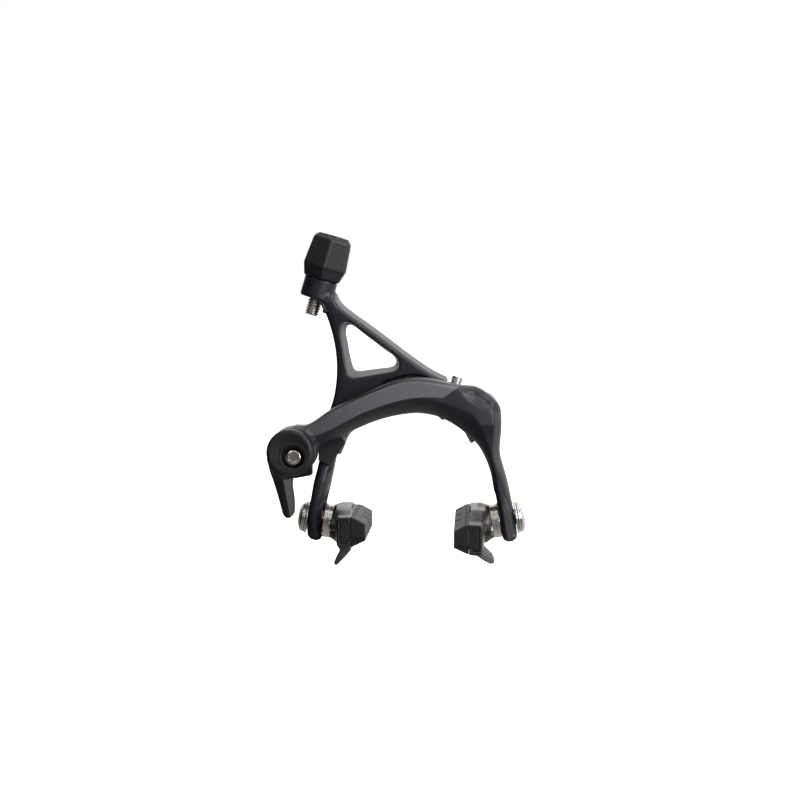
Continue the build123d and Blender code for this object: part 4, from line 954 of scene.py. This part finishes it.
def coil_points(p, y0, y1, a0, a1, n):
    out = []
    for i in range(n + 1):
        f_ = i / n
        a_ = rad(a0 + (a1 - a0) * f_)
        out.append((p[0] + 3.3 * cos(a_), y0 + (y1 - y0) * f_, p[1] + 3.3 * sin(a_)))
    return out


cy0, cy1 = -5.6, -7.35
tube("spring_centre_wire", coil_points((-10.5, -3.0), cy1, cy0, -396, -90, 28)
     + [(-5.8, cy0, -6.15), (0.5, cy0, -6.05), (6.6, cy0, -6.75)]
     + coil_points((12.0, -4.2), cy0, cy1, -90, 216, 28), 0.9, "spring_steel", "spring_centre", per=3)
tube("spring_leg_left_wire", [(-8.71, -7.35, -5.77), (-13.0, -7.3, -7.7), (-17.5, -7.0, -9.7), (-21.3, -6.6, -12.2), (-23.7, -6.3, -14.6),
                              (-24.8, -6.2, -17.0), (-26.8, -6.2, -21.9)], 0.9, "spring_steel", "spring_leg_left")
tube("spring_leg_right_wire", [(10.2, -7.35, -6.97), (13.5, -7.3, -8.5), (16.6, -7.0, -10.4), (19.0, -6.6, -12.6), (20.5, -6.3, -15.0),
                               (21.8, -6.2, -17.6)], 0.9, "spring_steel", "spring_leg_right")

# shoes that the spring legs rest in
G = Field((-33.6, -22.8, -25.2), (-23.0, -4.5, -12.8), HF * 1.4)
X, Y, Z = G.X, G.Y, G.Z
y_f = -20.55 - 0.215 * np.clip(-16.2 - Z, 0, 9)
F = rint(poly_d(X, Z, [(-32.9, -17.6), (-25.6, -13.2), (-23.4, -16.2), (-28.8, -24.8), (-33.1, -22.6)]), np.maximum(y_f - Y, Y + 7.6), 0.15)
F = runi(F, rint(poly_d(X, Z, [(-27.6, -14.9), (-25.6, -15.5), (-28.0, -21.5), (-30.0, -21.0)]), band(Y, -9.2, -4.9), 0.3), 0.3)
F = rdif(F, np.maximum(np.abs((X + 26.2) * 0.93 - (Z + 19.0) * 0.36) - 0.95, band(Y, -7.3, -4.0)), 0.1)
solid("spring_shoe_left_moulding", F, G, "black_plastic", ["spring_shoe_left"], smooth_it=1)

G = Field((20.2, -23.6, -19.3), (26.7, -4.7, -12.2), HF * 1.4)
X, Y, Z = G.X, G.Y, G.Z
F = rint(poly_d(X, Z, [(20.7, -12.6), (23.3, -12.7), (26.5, -17.4), (25.7, -18.5), (23.3, -16.5)]), band(Y, -23.4, -4.9), 0.3)
solid("spring_shoe_right_moulding", F, G, "black_plastic", ["spring_shoe_right"], smooth_it=1)

# wire clip under the adjuster boss
G = Field((-33.4, -21.4, 29.2), (-28.0, -16.9, 34.4), 0.1)
X, Y, Z = G.X, G.Y, G.Z


def cap(p, q, r):
    p, q = np.array(p, float), np.array(q, float)
    e = q - p
    t = np.clip(((X - p[0]) * e[0] + (Y - p[1]) * e[1] + (Z - p[2]) * e[2]) / (e @ e), 0, 1)
    return np.sqrt((X - p[0] - e[0] * t) ** 2 + (Y - p[1] - e[1] * t) ** 2 + (Z - p[2] - e[2] * t) ** 2) - r


F = runi(cap((-32.5, -20.5, 33.5), (-31.4, -20.6, 32.6), 0.5), cap((-31.4, -20.6, 32.6), (-30.6, -20.6, 30.4), 0.5), 0.2)
F = runi(F, rint(circ(X, Z, -30.6, 30.4, 0.85), band(Y, -21.05, -19.35), 0.2), 0.2)
# short pin that holds the clip to the arm
F = runi(F, cap((-30.6, -20.2, 30.4), (-29.2, -18.0, 30.1), 0.5), 0.15)
solid("adjuster_clip_wire", F, G, "dark_steel", ["adjuster_clip"])

# ----------------------------------------------------------------------------
# pad units
# ----------------------------------------------------------------------------
PAD_CZ = {-1: -46.6, 1: -47.6}
PITCH = {-1: -1.6, 1: 1.7}
YAW = {-1: 0.0, 1: 0.0}
RIB = {-1: 7.9, 1: 8.6}
SCR_Y, SCR_Z = -30.0, {-1: -44.8, 1: -46.4}
# middle of the guide blade; the full section is this grown by WING_R
WING = {-1: [(-24.5, -5.6), (-21.3, -5.6), (-21.4, -6.6), (-23.1, -8.6), (-25.0, -10.6), (-25.95, -11.5), (-26.1, -11.3),
             (-25.1, -8.9), (-24.0, -6.9)],
        1: [(-25.1, -5.6), (-22.8, -5.6), (-23.9, -6.15), (-26.4, -7.9), (-28.3, -9.0), (-28.85, -9.0), (-28.95, -8.6),
            (-28.4, -7.6), (-26.5, -6.5)]}
WING_R = 0.62
GROOVES = (-20.0, -7.0, 5.0)


def pad_axes(side):
    """Rows are the shoe's own axes: across, along (rearward) and up."""
    p, y = rad(PITCH[side]), rad(YAW[side])
    Rx = np.array([[1, 0, 0], [0, cos(p), -sin(p)], [0, sin(p), cos(p)]])
    Rz = np.array([[cos(y), -sin(y), 0], [sin(y), cos(y), 0], [0, 0, 1]])
    return (Rz @ Rx).T


for side, nm in ((-1, "left"), (1, "right")):
    m_ = -side
    cz = PAD_CZ[side]
    c, s = cos(PAD_T), sin(PAD_T)
    inb = (-side * c, 0, -s)                                  # bolt axis, inboard
    o = (side * 34.3, PAD_Y, LEG_Z[side])
    BA = axes_from(inb, (0, 1, 0))
    hh = HF

    # bolt: threaded shank with a domed seat inside the holder
    G = Field((-4.7, -4.7, -6.0), (4.7, 4.7, 8.9), hh, o, BA)
    F = np.maximum(G.rr() - thread(G, 3.0, 1.0, 0.45, -6.3, 2.6, 0.8), band(G.Z, -5.9, 7.5))
    F = np.maximum(F, G.rr() - (2.4 + (G.Z + 5.9)))
    F = runi(F, rint(G.rr() - 4.6, band(G.Z, 7.3, 8.8), 0.3), 0.2)
    F = rdif(F, np.maximum(ngon(G.X, G.Y, 1.5, 6, 30), G.Z + 3.9), 0.1)
    solid(nm + "_pad_bolt_turned", F, G, "steel", [nm + "_pad_bolt"])

    # domed nut with a hex socket
    G = Field((-5.4, -5.4, -6.8), (5.4, 5.4, -4.2), hh * 0.9, o, BA)
    F = rint(G.rr() - 5.3, band(G.Z, -6.65, -4.35), 0.22)
    F = rint(F, np.sqrt(G.rr() ** 2 + (G.Z - 3.1) ** 2) - 9.72, 0.3)
    F = rdif(F, np.maximum(ngon(G.X, G.Y, 2.2, 6, 0), G.Z + 5.75), 0.12)
    F = rdif(F, np.maximum(G.rr() - (2.4 + np.clip(-G.Z - 6.3, 0, 1)), G.Z + 6.0), 0.1)
    F = np.maximum(F, -np.maximum(G.rr() - 3.02, -5.95 - G.Z))
    solid(nm + "_pad_nut_turned", F, G, "polished", [nm + "_pad_nut"], smooth_it=3)

    # outer washers: one flat, one dished
    G = Field((-5.9, -5.9, -4.5), (5.9, 5.9, -2.7), hh * 0.9, o, BA)
    hole = 3.05 - G.rr()
    F = rint(np.maximum(G.rr() - 5.8, hole), band(G.Z, -3.60, -2.85), 0.16)
    F = np.minimum(F, rint(np.maximum(G.rr() - 5.5, hole), band(G.Z + 0.10 * np.clip(G.rr() - 4.4, 0, 2), -4.35, -3.66), 0.22))
    solid(nm + "_outer_washers_pressed", F, G, "steel", [nm + "_outer_washers"], smooth_it=2)

    # inner washers: a thick spherical pair
    G = Field((-6.3, -6.3, 2.7), (6.3, 6.3, 5.98), hh * 0.9, o, BA)
    hole = 3.05 - G.rr()
    F = rint(np.maximum(G.rr() - 6.1, hole), band(G.Z, 2.85, 4.33), 0.08)
    F = np.minimum(F, rint(np.maximum(G.rr() - 6.05, hole), band(G.Z, 4.37, 5.83), 0.08))
    solid(nm + "_inner_washers_turned", F, G, "steel", [nm + "_inner_washers"], smooth_it=2)

    # holder
    PA = pad_axes(side)
    lo_x, hi_x = (-29.2, -20.2) if side < 0 else (20.2, 29.2)
    G = Field((lo_x, -25.3, -6.0), (hi_x, 25.3, 9.4), 0.22, (0, PAD_Y, cz), PA)
    U, V_, W_ = m_ * G.X, G.Y - 16.0, G.Z                      # U negative inside the sections, V_ is row y at the centre
    sec = [(-26.0, 3.9), (-25.2, 5.2), (-20.7, 5.3), (-20.7, 3.1), (-21.9, 3.1), (-21.9, 4.15), (-24.4, 4.15), (-24.4, -4.15), (-21.9, -4.15),
           (-21.9, -3.1), (-20.7, -3.1), (-20.7, -5.3), (-23.6, -5.6), (-25.4, -5.1), (-26.2, -3.4), (-26.35, 0.0)]
    out = [(-26.0, 3.9), (-25.2, 5.2), (-20.7, 5.3), (-20.7, -5.3), (-23.6, -5.6), (-25.4, -5.1), (-26.2, -3.4), (-26.35, 0.0)]
    d_sec = poly_d(U, W_, sec)
    d_out = poly_d(U, W_, out)
    # back tapers in at both ends
    taper = 0.95 * (1 - smooth(-41.0, -34.5, V_)) + 1.3 * smooth(2.5, 9.0, V_)
    back_cut = (-26.35 + taper) - U
    shell = rint(rint(d_sec, band(V_, -41.0, 9.0), 0.22), back_cut, 0.8)
    stop = rint(d_out, band(V_, 7.4, 9.0), 0.3)
    stop = rint(stop, back_cut, 0.8)
    F = np.minimum(shell, stop)
    # raised rib that rises smoothly along the top
    rh = RIB[side]
    py = G.Y.ravel() - 16.0
    prof = np.interp(py, [-41, -38, -34.5, -31, -26.5, -21, -10, -5, -1.0, 9],
                     [3.6, 4.9, 6.0, 7.0, rh - 0.25, rh, rh, rh - 0.8, 5.2, 3.5])
    ker = np.hanning(15)
    prof = np.convolve(np.pad(prof, 7, mode="edge"), ker / ker.sum(), "valid").astype(f4)[None, :, None]
    crown = prof - 0.060 * np.clip(np.abs(U + 23.3) - 0.4, 0, 4) ** 1.9
    wide = 0.75 * smooth(-38.5, -31.0, V_) * (1 - smooth(-6.0, 0.0, V_))
    hump = rint(np.maximum(-25.9 - wide - U, U + 20.75 - 0.25 * wide), np.maximum(W_ - crown, 4.2 - W_), 0.6)
    F = runi(F, hump, 0.6)
    # a relief between the rib and the lip round the insert
    F = rdif(F, np.maximum(np.maximum(np.abs(U + 20.95) - 0.16, 5.0 - W_), band(V_, -27.5, -4.0)), 0.05)
    # boss for the bolt
    bx_ = (U * m_) * PA[0][0]
    wx = G.X * PA[0][0] + G.Y * PA[1][0] + G.Z * PA[2][0]
    wy = PAD_Y + G.X * PA[0][1] + G.Y * PA[1][1] + G.Z * PA[2][1]
    wz = cz + G.X * PA[0][2] + G.Y * PA[1][2] + G.Z * PA[2][2]
    sd, td = pad_st(side, wx, wz)
    rbolt = np.sqrt((wy - PAD_Y) ** 2 + td ** 2)
    boss = rint(rbolt - (6.15 + 1.2 * np.clip((sd - 6.4) / 2.4, 0, 1)), band(sd, 5.87, 9.45), 0.3)
    F = runi(F, boss, 0.8)
    # boss for the insert screw
    rsc = np.sqrt((wy - SCR_Y) ** 2 + (wz - SCR_Z[side]) ** 2)
    us = m_ * wx
    F = runi(F, rint(rsc - 1.95, band(us, -28.4, -25.2), 0.25), 0.6)
    F = rdif(F, np.maximum(rsc - 1.25, us + 24.0), 0.08)
    F = rdif(F, np.maximum(rbolt - 3.05, band(sd, 0, 7.6)), 0.1)
    F = np.maximum(F, -np.maximum(rbolt - 4.65, band(sd, 7.25, 8.85)))
    solid(nm + "_pad_holder_extrusion", F, G, "alloy_black", [nm + "_pad_holder"], smooth_it=1)

    # insert
    lo_x, hi_x = (-24.6, -15.2) if side < 0 else (15.2, 24.6)
    G = Field((lo_x, -25.3, -5.4), (hi_x, 25.3, 5.4), 0.21, (0, PAD_Y, cz), PA)
    U, V_, W_ = m_ * G.X, G.Y - 16.0, G.Z
    T_sec = [(-24.32, 4.03), (-21.98, 4.03), (-21.98, 3.0), (-20.6, 3.0), (-20.6, -3.0), (-21.98, -3.0), (-21.98, -4.03), (-24.32, -4.03)]
    F_sec = [(-20.62, 5.2), (-19.5, 5.2), (-15.4, 2.9), (-15.4, -2.9), (-19.6, -4.9), (-20.62, -5.2)]
    near = 0.5 * smooth(1.2, 3.2, -W_ - 0.2)
    key = rint(poly_d(U, W_, T_sec), band(V_, -40.85 + 0.0, 7.35), 0.2)
    face = rint(poly_d(U, W_, F_sec), np.maximum(-41.0 + near - V_, V_ - 9.0), 0.28)
    F = runi(key, face, 0.15)
    for gy in GROOVES:
        F = rdif(F, np.maximum(np.abs(V_ - gy) - 0.75, -17.5 - U), 0.2)
    # moulding lines round the upper edge
    F = rdif(F, np.maximum(np.abs(U + 19.55) - 0.10, 4.75 - W_), 0.05)
    wx = G.X * PA[0][0] + G.Y * PA[1][0] + G.Z * PA[2][0]
    wy = PAD_Y + G.X * PA[0][1] + G.Y * PA[1][1] + G.Z * PA[2][1]
    wz = cz + G.X * PA[0][2] + G.Y * PA[1][2] + G.Z * PA[2][2]
    sd, td = pad_st(side, wx, wz)
    F = rdif(F, np.maximum(np.sqrt((wy - PAD_Y) ** 2 + td ** 2) - 4.7, sd - 8.9), 0.1)
    solid(nm + "_pad_rubber_moulding", F, G, "rubber", [nm + "_pad_rubber"], smooth_it=1)

    # insert screw: button head in the boss
    SX = axes_from((m_, 0, 0), (0, 1, 0))
    G = Field((-1.8, -1.8, -0.1), (1.8, 1.8, 4.5), 0.08, (m_ * -28.9, SCR_Y, SCR_Z[side]), SX)
    F = runi(rint(G.rr() - 1.6, np.maximum(-G.Z, G.Z - 0.5), 0.22), np.maximum(G.rr() - thread(G, 1.2, 0.5, 0.16, 0.8, 4.2, 0.3), band(G.Z, 0.2, 4.4)), 0.1)
    F = rdif(F, np.maximum(ngon(G.X, G.Y, 0.65, 6, 0), G.Z - 1.1), 0.05)
    solid(nm + "_pad_screw_turned", F, G, "polished", [nm + "_pad_screw"])

    # guide wing: a thin blade that swings out below the holder
    lo_x, hi_x = (-29.8, -20.6) if side < 0 else (20.6, 29.8)
    G = Field((lo_x, -20.6, -12.6), (hi_x, 5.0, -4.7), 0.16, (0, PAD_Y, cz), PA)
    U, V_, W_ = m_ * G.X, G.Y - 16.0, G.Z
    dw = np.maximum(poly_d(U, W_, WING[side]) - WING_R, W_ + 5.24)
    out_x = np.clip((-21.6 - U) / 8.0, 0, 1)
    ends = np.maximum(-36.0 + 2.6 * out_x ** 2 - V_, V_ - (-12.0 - 15.0 * out_x ** 1.3))
    F = rint(dw, ends, 0.5)
    solid(nm + "_wheel_guide_moulding", F, G, "guide_plastic", [nm + "_wheel_guide"], smooth_it=1)


# ----------------------------------------------------------------------------
# whatever is still shown as plain CAD takes its slot's material
# ----------------------------------------------------------------------------
done = {n for _, ns in BUILT for n in ns}
for n, o in frame["nodes"].items():
    if n in done:
        continue
    o.data.materials.clear()
    o.data.materials.append(MATS[{"arm_paint": "arm_paint"}.get(SLOT_OF[n], SLOT_OF[n])])
    for p in o.data.polygons:
        p.use_smooth = True
    o.data.set_sharp_from_angle(angle=rad(30))

# ----------------------------------------------------------------------------
# studio
# ----------------------------------------------------------------------------
AZ, EL, D, S = rad(2.1), rad(4.4), 0.8, 2800.0
T = Vector((-0.0042, -0.016, -0.0015))
back = Vector((sin(AZ) * cos(EL), -cos(AZ) * cos(EL), sin(EL)))
cam_d = bpy.data.cameras.new("cam")
cam = bpy.data.objects.new("cam", cam_d)
bpy.context.scene.collection.objects.link(cam)
cam.location = T + back * D
cam.rotation_euler = back.to_track_quat("Z", "Y").to_euler()
cam_d.sensor_width = 36.0
cam_d.lens = 36.0 * (S * D) / 800.0
bpy.context.scene.camera = cam

scn = bpy.context.scene
scn.view_settings.view_transform = "Standard"
scn.view_settings.look = "None"

w = bpy.data.worlds.new("studio")
scn.world = w
w.use_nodes = True
wt = w.node_tree
bg = wt.nodes["Background"]
bg.inputs[1].default_value = 1.0
tc = wt.nodes.new("ShaderNodeTexCoord")
sx = wt.nodes.new("ShaderNodeSeparateXYZ")
wt.links.new(tc.outputs["Generated"], sx.inputs[0])


def wmap(v, a, b, c, d):
    r = wt.nodes.new("ShaderNodeMapRange")
    for i, x in enumerate((a, b, c, d)):
        r.inputs[i + 1].default_value = x
    wt.links.new(v, r.inputs[0])
    return r.outputs[0]


def wmath(op, a, b):
    r = wt.nodes.new("ShaderNodeMath")
    r.operation = op
    for i, x in enumerate((a, b)):
        if isinstance(x, (int, float)):
            r.inputs[i].default_value = x
        else:
            wt.links.new(x, r.inputs[i])
    return r.outputs[0]


# bright behind and above, dim towards the camera, to the left and from below
side_l = wmap(sx.outputs["X"], -0.75, 0.55, 0.03, 1.0)
behind = wmap(sx.outputs["Y"], -0.45, 0.75, 0.055, 1.0)
below = wmap(sx.outputs["Z"], -0.55, 0.10, 0.30, 1.0)
above = wmap(sx.outputs["Z"], 0.25, 0.95, 0.0, 0.5)
back_y = wmap(sx.outputs["Y"], 0.45, 0.95, 0.0, 0.75)
back_z = wmap(sx.outputs["Z"], -0.25, 0.25, 0.15, 1.0)
back_x = wmap(sx.outputs["X"], -0.85, -0.25, 0.15, 1.0)
lvl = wmath("ADD", wmath("MULTIPLY", wmath("MULTIPLY", side_l, behind), below), above)
lvl = wmath("ADD", lvl, wmath("MULTIPLY", wmath("MULTIPLY", back_y, back_z), back_x))
bounce = wmap(sx.outputs["Z"], -0.10, -0.85, 0.0, 0.36)
cone = wmap(sx.outputs["Y"], -0.84, -0.97, 0.0, 0.11)
lvl = wmath("ADD", lvl, cone)
bounce_x = wmap(sx.outputs["X"], -0.9, 0.3, 0.35, 1.0)
lvl = wmath("ADD", lvl, wmath("MULTIPLY", bounce, bounce_x))
cr = wt.nodes.new("ShaderNodeCombineColor")
wt.links.new(lvl, cr.inputs[0])
wt.links.new(wmath("MULTIPLY", lvl, 0.975), cr.inputs[1])
wt.links.new(wmath("MULTIPLY", lvl, 0.95), cr.inputs[2])
lp = wt.nodes.new("ShaderNodeLightPath")
mx = wt.nodes.new("ShaderNodeMix")
mx.data_type = "RGBA"
wt.links.new(lp.outputs["Is Camera Ray"], mx.inputs[0])
wt.links.new(cr.outputs[0], mx.inputs[6])
mx.inputs[7].default_value = (1, 1, 1, 1)
wt.links.new(mx.outputs[2], bg.inputs[0])


def softbox(name, loc, size, power, color=(1, 1, 1), target=(0, -0.016, -0.01)):
    ld = bpy.data.lights.new(name, "AREA")
    ld.shape = "RECTANGLE"
    ld.size, ld.size_y = size
    ld.energy = power
    ld.color = color
    lo = bpy.data.objects.new(name, ld)
    lo.location = loc
    lo.rotation_euler = (Vector(loc) - Vector(target)).to_track_quat("Z", "Y").to_euler()
    scn.collection.objects.link(lo)
    return lo


softbox("key_right", (0.62, -0.42, 0.28), (0.34, 0.60), 5.0, (0.93, 0.96, 1.0))
softbox("top", (0.10, -0.05, 0.75), (0.7, 0.5), 1.6, (1.0, 0.98, 0.95))
softbox("front_fill", (0.12, -0.95, 0.55), (0.5, 0.4), 0.34, (0.90, 0.94, 1.0))
softbox("catch_left", (-0.30, -0.85, 0.32), (0.08, 0.26), 0.30, (1.0, 0.99, 0.97))
softbox("catch_right", (0.34, -0.80, 0.10), (0.10, 0.34), 0.75, (0.91, 0.95, 1.0))
softbox("low_right", (0.50, -0.62, -0.02), (0.5, 0.10), 0.55, (1.0, 0.97, 0.94))

fl_me = bpy.data.meshes.new("floor")
fl_me.from_pydata([(-3, -3, -0.085), (3, -3, -0.085), (3, 3, -0.085), (-3, 3, -0.085)], [], [(0, 1, 2, 3)])
fl = bpy.data.objects.new("floor", fl_me)
scn.collection.objects.link(fl)
fm = Mat("floor_white")
fm.link(fm.ramp(fm.noise(3, 2), [(0.2, (0.93, 0.92, 0.91)), (0.8, (0.95, 0.94, 0.93))]), fm.b.inputs["Base Color"])
fm.set(Roughness=0.9, Emission_Color=(1.0, 0.985, 0.965, 1), Emission_Strength=0.85)
fl_me.materials.append(MATS["floor_white"])
fl.visible_diffuse = False
fl.visible_glossy = False
